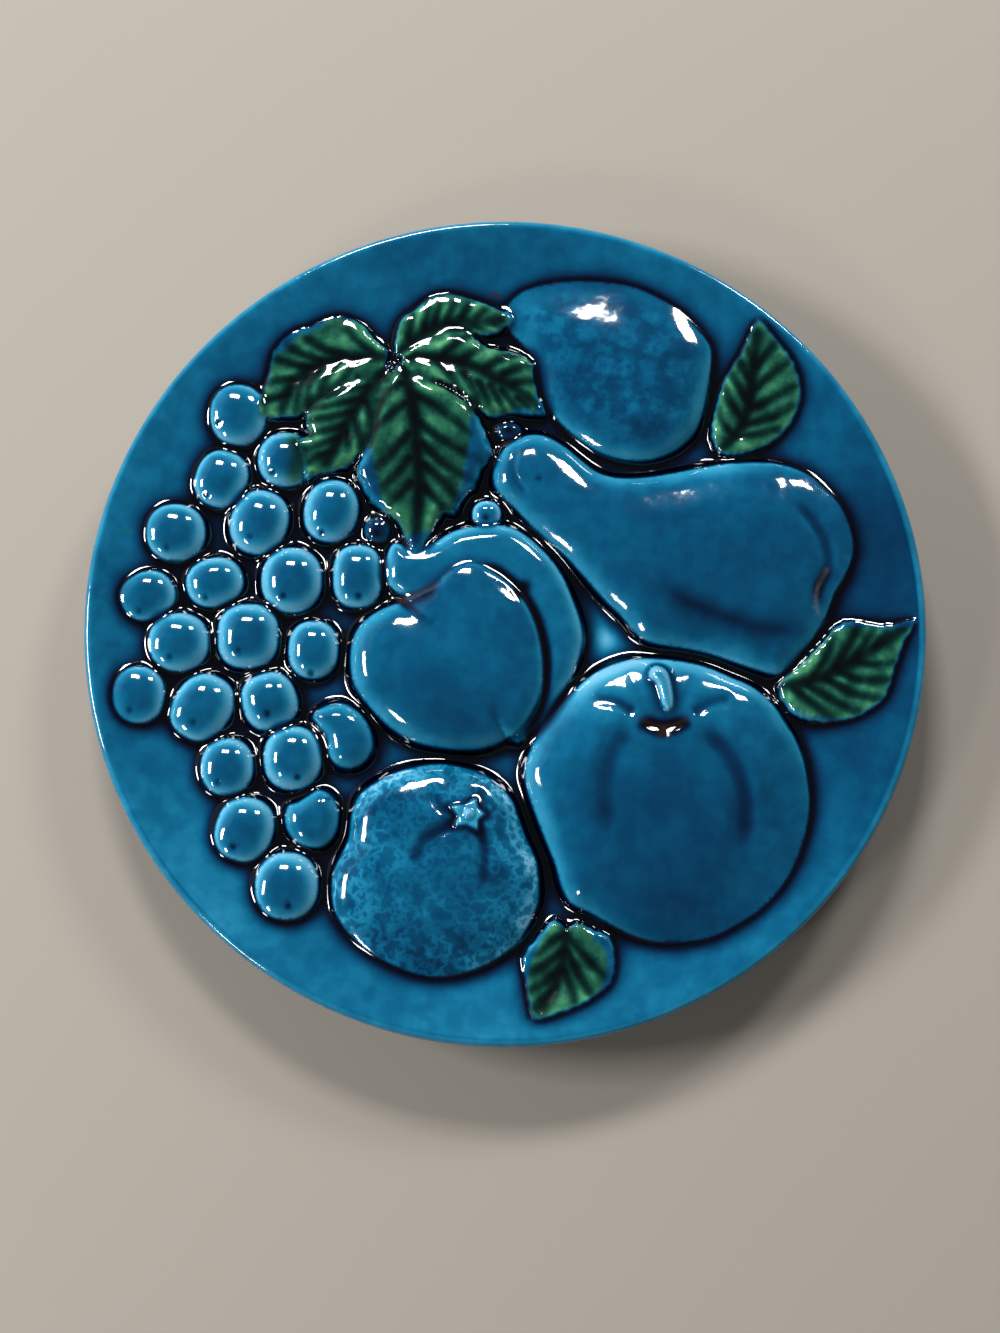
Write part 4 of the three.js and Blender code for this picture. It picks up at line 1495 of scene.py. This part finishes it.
@dataclass
class WallPlate:
    """The whole plate as one closed mesh.

    Attributes:
        raster: the grid that its face is worked out on.
        profile: its turned part.
        lattice: how its face's points are chosen.
        joint_gap: how far the face's own points stay away from the turned part.
        joint_slack: how far from the joint's radius a point may be to count as on it.
        weld_reach: how near each other two points are made one.
        paint_softness: how softly the green paint ends, in mm.
        peel_softness: how softly the sponging ends.
        mottle_softness: how softly the blotches end.
        crease: the angle from which an edge of the turned part is sharp, in degrees.
        face_inset: how far inside the joint the glaze's own slope starts to shade the face.
        face_slack: how far from the glaze a point may be to count as on it.
    """

    raster: Raster
    profile: PlateProfile = field(default_factory=PlateProfile)
    lattice: PointLattice = field(default_factory=PointLattice)
    joint_gap: float = 0.8
    joint_slack: float = 0.05
    weld_reach: float = 0.02
    paint_softness: float = 0.15
    peel_softness: float = 0.4
    mottle_softness: float = 0.8
    crease: float = 50.0
    face_inset: float = 0.3
    face_slack: float = 0.2

    def build_face(self) -> None:
        """Presses the motifs on the clay and pours the glaze."""
        self.face = ClayFace(self.raster)
        motifs = [LEMON, PEACH_BACK, PEACH_FRONT, PEAR, APPLE, APPLE_STALK, TANGERINE]
        motifs += [CalyxStar(), *GRAPES, *DENTED_GRAPES, *VINE_BLADES, *SMALL_LEAVES]
        for motif in motifs:
            motif.press(self.face)
        self.face.fill_folds()
        self.face.cut_moat()
        self.face.trim_paint()
        for mark in KILN_MARKS:
            mark.stain_face(self.face)
        self.coat = GlazeCoat(self.raster)
        self.coat.pour(self.face)

    def face_points(self) -> np.ndarray:
        """Chooses the points of the face.

        Returns:
            The points in the plate's plane, one a row, the ring at the joint last.
        """
        spacing = self.lattice.spacing(self.raster, self.coat, self.face)
        joint = self.profile.joint_radius
        inner = self.lattice.scatter(self.raster, spacing, joint - self.joint_gap)
        return np.vstack([inner, joint * np.stack(self.profile.ring(), -1)])

    def turned_body(self) -> tuple[np.ndarray, Faces, np.ndarray]:
        """Makes the lip, rim and back with the wire holes cut through the foot ring.

        Returns:
            The points in the plate's plane, the faces, and how deep the glaze looks at
            each point. The front is open, where the face closes it.
        """
        joint = self.profile.joint_radius
        joint_stand = float(self.face.ground_at(np.float64(joint)))
        rows = [(joint, joint_stand, self.profile.joint_depth), *self.profile.rows]
        body = self.spin(rows)
        for aside in (-self.profile.wire_hole_aside, self.profile.wire_hole_aside):
            self.cut_wire_hole(body, aside)
        mesh = body.data
        points = np.array([v.co for v in mesh.vertices], float).reshape(-1, 3) / MM
        on_joint = np.abs(np.hypot(points[:, 0], points[:, 1]) - joint) < self.joint_slack
        corners = [tuple(p.vertices) for p in mesh.polygons]
        faces = [c for c in corners if not on_joint[list(c)].all()]
        bpy.data.objects.remove(body)
        depth = self.turned_depth(points, rows)
        depth[on_joint] = self.raster.at(self.coat.depth, points[on_joint, :2])
        points[on_joint, 2] = self.raster.at(self.coat.surface, points[on_joint, :2])
        return points, faces, depth

    def spin(self, rows: list[Triple]) -> bpy.types.Object:
        """Spins the profile into a closed body.

        Args:
            rows: radius, stand and the glaze's depth, from the joint to the recess.

        Returns:
            The body, in the plate's plane but in metres.
        """
        count = self.profile.steps
        across, up = self.profile.ring()
        points = np.vstack([
            np.stack([radius * across, radius * up, np.full(count, stand)], -1)
            for radius, stand, _ in rows
        ])
        points = np.vstack([points, [[0, 0, self.profile.axis_stand]]])
        faces: Faces = [tuple(range(count))]
        for row in range(len(rows) - 1):
            for i in range(count):
                a, b = row * count + i, row * count + (i + 1) % count
                faces.append((a, a + count, b + count, b))
        last = (len(rows) - 1) * count
        for i in range(count):
            faces.append((last + i, len(points) - 1, last + (i + 1) % count))
        return new_mesh_object("turned_body", points * MM, faces)

    def cut_wire_hole(self, body: bpy.types.Object, aside: float) -> None:
        """Drills one hole through the foot ring.

        Args:
            body: the turned body, still in the plate's plane.
            aside: the hole's distance from the middle, in mm.
        """
        radius = self.profile.wire_hole_radius * MM
        drill = bmesh.new()
        bmesh.ops.create_cone(
            drill, cap_ends=True, segments=self.profile.wire_hole_sides,
            depth=self.profile.drill_length * MM, radius1=radius, radius2=radius,
        )
        middle = math.sqrt(HANG_RADIUS**2 - aside**2)
        place = Matrix.Translation((aside * MM, middle * MM, self.profile.wire_hole_stand * MM))
        bmesh.ops.transform(
            drill, matrix=place @ Matrix.Rotation(math.pi / 2, 4, "X"), verts=drill.verts
        )
        mesh = bpy.data.meshes.new("wire_hole_drill")
        drill.to_mesh(mesh)
        drill.free()
        tool = bpy.data.objects.new("wire_hole_drill", mesh)
        bpy.context.scene.collection.objects.link(tool)
        cut = body.modifiers.new("wire_hole", "BOOLEAN")
        cut.operation = "DIFFERENCE"
        cut.object = tool
        graph = bpy.context.evaluated_depsgraph_get()
        result = bpy.data.meshes.new_from_object(body.evaluated_get(graph))
        body.modifiers.clear()
        body.data = result
        bpy.data.objects.remove(tool)

    def turned_depth(self, points: np.ndarray, rows: list[Triple]) -> np.ndarray:
        """How deep the glaze looks on the turned body.

        Args:
            points: the body's points, one a row.
            rows: the profile's rows.

        Returns:
            One value a point.
        """
        table = np.array(rows)
        radius = np.hypot(points[:, 0], points[:, 1])
        gap = (radius[:, None] - table[None, :, 0]) ** 2 + (points[:, 2:3] - table[None, :, 1]) ** 2
        return table[gap.argmin(1), 2]

    def build(self) -> bpy.types.Object:
        """Builds the plate's mesh with its normals and masks.

        Returns:
            The finished object, in the row frame.
        """
        flat_points, _, triangles, _, _, _ = delaunay_2d_cdt(
            [Vector(p) for p in self.face_points().tolist()], [], [], 0, 1e-6
        )
        flat = np.array(flat_points, float)
        face_points = np.column_stack([flat, self.raster.at(self.coat.surface, flat)])
        body_points, body_faces, body_depth = self.turned_body()
        points = np.vstack([face_points, body_points])
        shift = len(face_points)
        faces = [tuple(t) for t in triangles]
        faces += [tuple(i + shift for i in f) for f in body_faces]
        plate = new_mesh_object("wall_plate", row_frame(points), faces)
        blur = self.raster.blur
        masks = {
            "glaze_depth": (self.coat.depth, body_depth),
            "leaf_paint": (blur(self.face.paint, self.paint_softness), 0.0),
            "peel": (blur(self.face.peel, self.peel_softness), 0.0),
            "mottle": (blur(self.face.mottle, self.mottle_softness), 0.0),
            "dirt": (self.face.dirt, 0.0),
            "bare_clay": (self.face.bare, self.bare_ring(body_points)),
        }
        for name, (on_face, on_body) in masks.items():
            values = np.zeros(len(points), np.float32)
            values[:shift] = self.raster.at(on_face, flat)
            values[shift:] = on_body
            layer = plate.data.attributes.new(name, "FLOAT", "POINT")
            layer.data.foreach_set("value", values)
        self.weld(plate)
        self.smooth(plate)
        return plate

    def bare_ring(self, points: np.ndarray) -> np.ndarray:
        """Where the foot ring shows bare clay.

        Args:
            points: the turned body's points, one a row.

        Returns:
            1 at each bare point, and 0 at the others.
        """
        inner, outer = self.profile.foot_ring
        radius = np.hypot(points[:, 0], points[:, 1])
        low = points[:, 2] < self.profile.bare_stand
        return (low & (radius > inner) & (radius < outer)).astype(np.float32)

    def weld(self, plate: bpy.types.Object) -> None:
        """Joins the face to the turned body along their common ring.

        Args:
            plate: the plate, in the row frame.
        """
        work = bmesh.new()
        work.from_mesh(plate.data)
        joint, slack = self.profile.joint_radius * MM, self.joint_slack * MM
        ring = [
            v for v in work.verts
            if abs(math.hypot(v.co.x, v.co.z + HANG_RADIUS * MM) - joint) < slack
        ]
        bmesh.ops.remove_doubles(work, verts=ring, dist=self.weld_reach * MM)
        bmesh.ops.recalc_face_normals(work, faces=work.faces)
        work.to_mesh(plate.data)
        work.free()

    def smooth(self, plate: bpy.types.Object) -> None:
        """Shades the face by the glaze's own slope, and the back by its facets' angles.

        Args:
            plate: the welded plate, in the row frame.
        """
        mesh = plate.data
        mesh.shade_smooth()
        mesh.set_sharp_from_angle(angle=math.radians(self.crease))
        along_x, along_y = self.raster.slope(self.coat.surface)
        spots = np.array([v.co for v in mesh.vertices], float).reshape(-1, 3) / MM
        flat = spots[:, [0, 2]] + [0, HANG_RADIUS]
        slope_x = self.raster.at(along_x, flat)
        slope_y = self.raster.at(along_y, flat)
        normals = np.column_stack([-slope_x, -np.ones(len(flat)), -slope_y])
        normals /= np.linalg.norm(normals, axis=1)[:, None]
        radius = np.hypot(flat[:, 0], flat[:, 1])
        off_glaze = np.abs(spots[:, 1] + self.raster.at(self.coat.surface, flat))
        on_face = radius < self.profile.joint_radius - self.face_inset
        normals[~(on_face & (off_glaze < self.face_slack))] = 0
        corners = np.zeros(len(mesh.loops), np.int32)
        mesh.loops.foreach_get("vertex_index", corners)
        mesh.normals_split_custom_set(normals[corners].tolist())


def row_frame(points: np.ndarray) -> np.ndarray:
    """Points from the plate's plane, in mm, moved to the row frame, in metres."""
    return np.column_stack([points[:, 0], -points[:, 2], points[:, 1] - HANG_RADIUS]) * MM


def new_mesh_object(name: str, points: np.ndarray, faces: Faces) -> bpy.types.Object:
    """Makes a mesh object and links it to the scene.

    Args:
        name: the object's name.
        points: the corners, one a row, in metres.
        faces: the corner numbers of each face.

    Returns:
        The new object.
    """
    mesh = bpy.data.meshes.new(name)
    mesh.from_pydata(points.tolist(), [], faces)
    mesh.update()
    made = bpy.data.objects.new(name, mesh)
    bpy.context.scene.collection.objects.link(made)
    return made


class NodeBench:
    """A small helper that adds nodes to a tree and wires them."""

    def __init__(self, tree: bpy.types.NodeTree) -> None:
        """Starts on a tree."""
        self.tree = tree

    def add(self, kind: str, **settings: object) -> bpy.types.Node:
        """Adds a node.

        Args:
            kind: the node's type.
            settings: the node's own properties to set.

        Returns:
            The node.
        """
        node = self.tree.nodes.new(kind)
        node.location = (180 * len(self.tree.nodes), 0)
        for key, value in settings.items():
            setattr(node, key, value)
        return node

    def feed(self, node: bpy.types.Node, values: dict[object, object]) -> bpy.types.Node:
        """Sets or wires a node's inputs.

        Args:
            node: the node.
            values: an input's name or number, and a plain value or another node's output.

        Returns:
            The same node.
        """
        for key, value in values.items():
            if isinstance(value, Socket):
                self.tree.links.new(value, node.inputs[key])
            else:
                node.inputs[key].default_value = value
        return node

    def math(self, operation: str, a: object, b: object = 0.0) -> Socket:
        """A Math node's output."""
        node = self.add("ShaderNodeMath", operation=operation)
        return self.feed(node, {0: a, 1: b}).outputs[0]

    def ramp(self, value: object, low: float, high: float, start: float, end: float) -> Socket:
        """Value mapped smoothly from the range low to high, to the range start to end."""
        node = self.add("ShaderNodeMapRange", interpolation_type="SMOOTHSTEP")
        return self.feed(node, {0: value, 1: low, 2: high, 3: start, 4: end}).outputs[0]

    def mix(self, factor: object, a: object, b: object) -> Socket:
        """A colour between two colours."""
        node = self.add("ShaderNodeMix", data_type="RGBA")
        return self.feed(node, {0: factor, 6: a, 7: b}).outputs[2]


def effect_group(
    name: str, inputs: list[tuple[str, str]], outputs: list[tuple[str, str]]
) -> tuple[bpy.types.NodeTree, bpy.types.Node, bpy.types.Node, NodeBench]:
    """Starts a shader node group.

    Args:
        name: the group's name.
        inputs: each input's name and kind.
        outputs: each output's name and kind.

    Returns:
        The group, its input node, its output node and a bench to build on.
    """
    tree = bpy.data.node_groups.new(name, "ShaderNodeTree")
    for label, kind in inputs:
        tree.interface.new_socket(label, in_out="INPUT", socket_type=kind)
    for label, kind in outputs:
        tree.interface.new_socket(label, in_out="OUTPUT", socket_type=kind)
    bench = NodeBench(tree)
    return tree, bench.add("NodeGroupInput"), bench.add("NodeGroupOutput"), bench


def new_material(name: str) -> tuple[bpy.types.Material, NodeBench]:
    """Starts a material without any nodes.

    Args:
        name: the material's name.

    Returns:
        The material, and a bench to build its nodes on.
    """
    made = bpy.data.materials.new(name)
    made.use_nodes = True
    made.node_tree.nodes.clear()
    return made, NodeBench(made.node_tree)


@dataclass(frozen=True)
class GlazeColour:
    """A see-through glaze: the colour of a thin layer, and how fast depth takes each colour."""

    name: str
    thin: Triple
    takes: Triple

    def group(self) -> bpy.types.NodeTree:
        """Builds the group that turns the glaze's depth into its colour.

        Returns:
            The group.
        """
        number, colour = "NodeSocketFloat", "NodeSocketColor"
        tree, source, sink, bench = effect_group(
            self.name, [("Depth", number)], [("Color", colour)]
        )
        joined = bench.add("ShaderNodeCombineColor")
        for channel, (start, loss) in enumerate(zip(self.thin, self.takes)):
            fade = bench.math("MULTIPLY", source.outputs["Depth"], -loss)
            left = bench.math("MULTIPLY", bench.math("EXPONENT", fade), start)
            bench.feed(joined, {channel: left})
        bench.feed(sink, {"Color": joined.outputs[0]})
        return tree


BLUE_GLAZE = GlazeColour("blue_glaze", (0.23, 0.48, 0.67), (1.9, 0.63, 0.483))
LEAF_GLAZE = GlazeColour("leaf_glaze", (0.19, 0.5, 0.21), (1.25, 0.78, 0.64))


@dataclass(frozen=True)
class Patches:
    """Patches where the glaze came out thinner or thicker.

    Attributes:
        scale: how many there are to a metre.
        detail: into how many finer levels their edges break up.
        rough: how strong those levels are.
        noise: the noise's values at which the change of depth starts and ends.
        change: how much deeper the glaze is there.
    """

    scale: float
    detail: float
    rough: float
    noise: Span = (0.0, 1.0)
    change: Span = (0.0, 1.0)

    def noise_on(self, bench: NodeBench, place: Socket) -> Socket:
        """Adds the plain noise.

        Args:
            bench: the group's bench.
            place: the output that gives the place in the object.

        Returns:
            The noise's value.
        """
        node = bench.add("ShaderNodeTexNoise")
        bench.feed(node, {
            "Vector": place, "Scale": self.scale, "Detail": self.detail, "Roughness": self.rough,
        })
        return node.outputs["Fac"]

    def depth_on(self, bench: NodeBench, place: Socket) -> Socket:
        """The change of the glaze's depth."""
        return bench.ramp(self.noise_on(bench, place), *self.noise, *self.change)


CLOUDS = Patches(55, 3, 0.55, (0.3, 0.7), (-0.28, 0.28))
FLECKS = Patches(190, 2, 0.5, (0.35, 0.65), (-0.18, 0.18))
ISLANDS = Patches(85, 2, 0.55, (0.36, 0.64), (-0.6, 0.8))
BLOTCHES = Patches(165, 3, 0.6, (0.36, 0.64), (-0.5, 0.8))
# The web's veins run where its noise is near 0.5, so its range counts from there.
WEB = Patches(210, 2, 0.6, (0.0, 0.13), (-0.75, 0.65))
# The waves only roughen the surface.
WAVES = Patches(140, 2, 0.4)
# Thin glaze is more even: below the first depth only a tenth of the patches is left.
EVEN_DEPTHS: Span = (0.3, 2.2)
EVEN_SHARES: Span = (0.1, 1.0)
LEAST_DEPTH = 0.1


def uneven_pour_group() -> bpy.types.NodeTree:
    """Builds the group that makes the glaze's depth uneven, as it runs in the kiln.

    Returns:
        The group.
    """
    number, vector = "NodeSocketFloat", "NodeSocketVector"
    tree, source, sink, bench = effect_group(
        "uneven_pour",
        [("Depth", number), ("Place", vector), ("Peel", number), ("Mottle", number)],
        [("Depth", number), ("Height", number)],
    )
    place, depth = source.outputs["Place"], source.outputs["Depth"]
    even = bench.math("ADD", CLOUDS.depth_on(bench, place), FLECKS.depth_on(bench, place))
    even = bench.math("MULTIPLY", even, bench.ramp(depth, *EVEN_DEPTHS, *EVEN_SHARES))
    veins = bench.math("ABSOLUTE", bench.math("SUBTRACT", WEB.noise_on(bench, place), 0.5))
    web = bench.ramp(veins, *WEB.noise, *WEB.change)
    sponged = bench.math("ADD", web, ISLANDS.depth_on(bench, place))
    sponged = bench.math("MULTIPLY", sponged, source.outputs["Peel"])
    blotched = bench.math("MULTIPLY", BLOTCHES.depth_on(bench, place), source.outputs["Mottle"])
    total = bench.math("ADD", even, bench.math("ADD", blotched, sponged))
    deep = bench.math("MAXIMUM", bench.math("ADD", depth, total), LEAST_DEPTH)
    bench.feed(sink, {"Depth": deep, "Height": WAVES.noise_on(bench, place)})
    return tree


@dataclass(frozen=True)
class GlazedCeramic:
    """The plate's finish: blue and green glaze over pale clay.

    Attributes:
        roughness: the glaze's roughness.
        clay_roughness: the bare clay's roughness.
        refraction: the glaze's index of refraction.
        clay: the bare clay's colour.
        dirt: the colour of dirt in the glaze.
        wave_strength: how much of the glaze's fine waves shows.
        wave_height: how high those waves are, in metres.
    """

    roughness: float = 0.07
    clay_roughness: float = 0.75
    refraction: float = 1.6
    clay: Colour = (0.62, 0.5, 0.38, 1.0)
    dirt: Colour = (0.022, 0.01, 0.006, 1.0)
    wave_strength: float = 0.12
    wave_height: float = 0.0012

    def material(self) -> bpy.types.Material:
        """Builds the material from the face's masks.

        Returns:
            The material.
        """
        made, bench = new_material("glazed_ceramic")
        place = bench.add("ShaderNodeTexCoord").outputs["Object"]
        masks = {}
        for name in ("glaze_depth", "leaf_paint", "peel", "mottle", "dirt", "bare_clay"):
            masks[name] = bench.add("ShaderNodeAttribute", attribute_name=name).outputs["Fac"]
        pour = bench.add("ShaderNodeGroup", node_tree=uneven_pour_group())
        bench.feed(pour, {
            "Depth": masks["glaze_depth"], "Place": place, "Peel": masks["peel"],
            "Mottle": masks["mottle"],
        })
        colours = []
        for glaze in (BLUE_GLAZE, LEAF_GLAZE):
            node = bench.add("ShaderNodeGroup", node_tree=glaze.group())
            bench.feed(node, {"Depth": pour.outputs["Depth"]})
            colours.append(node.outputs["Color"])
        colour = bench.mix(masks["leaf_paint"], *colours)
        colour = bench.mix(masks["dirt"], colour, self.dirt)
        colour = bench.mix(masks["bare_clay"], colour, self.clay)
        bump = bench.add("ShaderNodeBump")
        bench.feed(bump, {
            "Strength": self.wave_strength, "Distance": self.wave_height,
            "Height": pour.outputs["Height"],
        })
        rough = bench.ramp(masks["bare_clay"], 0, 1, self.roughness, self.clay_roughness)
        surface = bench.add("ShaderNodeBsdfPrincipled")
        bench.feed(surface, {
            "Base Color": colour, "Roughness": rough, "IOR": self.refraction,
            "Normal": bump.outputs["Normal"],
        })
        bench.feed(bench.add("ShaderNodeOutputMaterial"), {"Surface": surface.outputs[0]})
        return made


@dataclass(frozen=True)
class PaleWall:
    """The plain backdrop's finish. It is see-through from behind, so the back can be seen."""

    colour: Colour = (0.33, 0.299, 0.258, 1.0)
    roughness: float = 0.9

    def material(self) -> bpy.types.Material:
        """Builds the backdrop's material.

        Returns:
            The material.
        """
        made, bench = new_material("pale_wall")
        matt = bench.add("ShaderNodeBsdfPrincipled")
        bench.feed(matt, {"Base Color": self.colour, "Roughness": self.roughness})
        clear = bench.add("ShaderNodeBsdfTransparent")
        behind = bench.add("ShaderNodeNewGeometry").outputs["Backfacing"]
        choice = bench.add("ShaderNodeMixShader")
        bench.feed(choice, {0: behind, 1: matt.outputs[0], 2: clear.outputs[0]})
        bench.feed(bench.add("ShaderNodeOutputMaterial"), {"Surface": choice.outputs[0]})
        return made


@dataclass
class SoftBox:
    """A soft lamp, placed by the direction in which the plate's middle sees it.

    Attributes:
        toward: direction from the plate as (right, up, out).
        wide: the lamp's width, in metres.
        high: its height, in metres.
        glow: how bright its face is.
        far: its distance, in metres.
    """

    name: str
    toward: Triple
    wide: float
    high: float
    glow: float
    far: float = 1.7

    def place(self) -> None:
        """Adds the lamp to the scene, facing the plate."""
        right, up, out = self.toward
        direction = Vector((right, -out, up)).normalized()
        lamp = bpy.data.lights.new(self.name, "AREA")
        lamp.shape = "RECTANGLE"
        lamp.size = self.wide
        lamp.size_y = self.high
        lamp.energy = self.glow * math.pi * self.wide * self.high
        made = bpy.data.objects.new(self.name, lamp)
        plate_middle = Vector((0, -0.02, -HANG_RADIUS * MM))
        made.location = plate_middle + direction * self.far
        made.rotation_mode = "QUATERNION"
        made.rotation_quaternion = direction.to_track_quat("Z", "Y")
        made.visible_camera = False
        bpy.context.scene.collection.objects.link(made)


@dataclass
class Studio:
    """Backdrop, floor, lamps and camera, in metres.

    Attributes:
        lamps: the soft lamps.
        ambient: how bright the air is.
        air_colour: the air's colour.
        wall_gap: how far behind the plate's foot ring the backdrop stands.
        room: half the room's width, and how far it reaches down, up and forward.
        camera_target: where the camera points.
        camera_distance: its distance from there.
        camera_tilt: how many degrees under the level it looks up from.
        lens: its lens, in mm.
        sensor: its sensor's longer side, in mm.
    """

    lamps: list[SoftBox] = field(default_factory=lambda: [
        SoftBox("lamp_top", (-0.14, 0.736, 0.663), 0.45, 0.27, 55),
        SoftBox("lamp_top_right", (0.425, 0.723, 0.545), 0.37, 0.25, 45),
        SoftBox("lamp_left", (-0.837, 0.076, 0.543), 0.25, 0.56, 55),
        SoftBox("lamp_lower_left", (-0.62, -0.58, 0.53), 0.16, 0.24, 35, 1.3),
        SoftBox("pale_panel", (-0.75, 0.55, 0.35), 1.6, 1.2, 0.2),
    ])
    ambient: float = 0.07
    air_colour: Colour = (0.92, 0.96, 1.0, 1.0)
    wall_gap: float = 0.0006
    room: tuple[float, float, float, float] = (3, 3, 2, 4)
    camera_target: Triple = (-0.0016, -0.020, -0.08936)
    camera_distance: float = 0.700
    camera_tilt: float = 10.38
    lens: float = 61.42
    sensor: float = 36

    def build(self) -> None:
        """Adds everything that isn't the plate."""
        side, down, up, forward = self.room
        left, right = [-side, self.wall_gap, -down], [side, self.wall_gap, -down]
        sheets = {
            "backdrop": [left, right, [side, self.wall_gap, up], [-side, self.wall_gap, up]],
            "floor": [left, [-side, -forward, -down], [side, -forward, -down], right],
        }
        finish = PaleWall().material()
        for name, corners in sheets.items():
            sheet = new_mesh_object(name, np.array(corners), [(0, 1, 2, 3)])
            sheet.data.materials.append(finish)
        world = bpy.data.worlds.new("studio_air")
        bpy.context.scene.world = world
        world.use_nodes = True
        air = world.node_tree.nodes["Background"]
        air.inputs[0].default_value = self.air_colour
        air.inputs[1].default_value = self.ambient
        for lamp in self.lamps:
            lamp.place()
        self.aim_camera()

    def aim_camera(self) -> None:
        """Puts the camera where the photograph was taken from."""
        data = bpy.data.cameras.new("camera")
        data.lens = self.lens
        data.sensor_width = self.sensor
        data.clip_start = 0.05
        tilt = math.radians(self.camera_tilt)
        back = Vector((0, -math.cos(tilt), -math.sin(tilt)))
        camera = bpy.data.objects.new("camera", data)
        camera.location = Vector(self.camera_target) + back * self.camera_distance
        camera.rotation_mode = "QUATERNION"
        camera.rotation_quaternion = back.to_track_quat("Z", "Y")
        bpy.context.scene.collection.objects.link(camera)
        bpy.context.scene.camera = camera
        bpy.context.scene.view_settings.view_transform = "Standard"


def main() -> None:
    """Builds the plate and the studio."""
    logging.basicConfig(level=logging.INFO, format="%(name)s: %(message)s")
    plate = WallPlate(Raster())
    plate.build_face()
    LOG.info("relief worked out")
    piece = plate.build()
    piece.data.materials.append(GlazedCeramic().material())
    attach(piece, "root")
    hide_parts("plate")
    LOG.info("wall_plate: %d faces", len(piece.data.polygons))
    Studio().build()
    LOG.info("studio: ready")


if __name__ == "__main__":
    main()
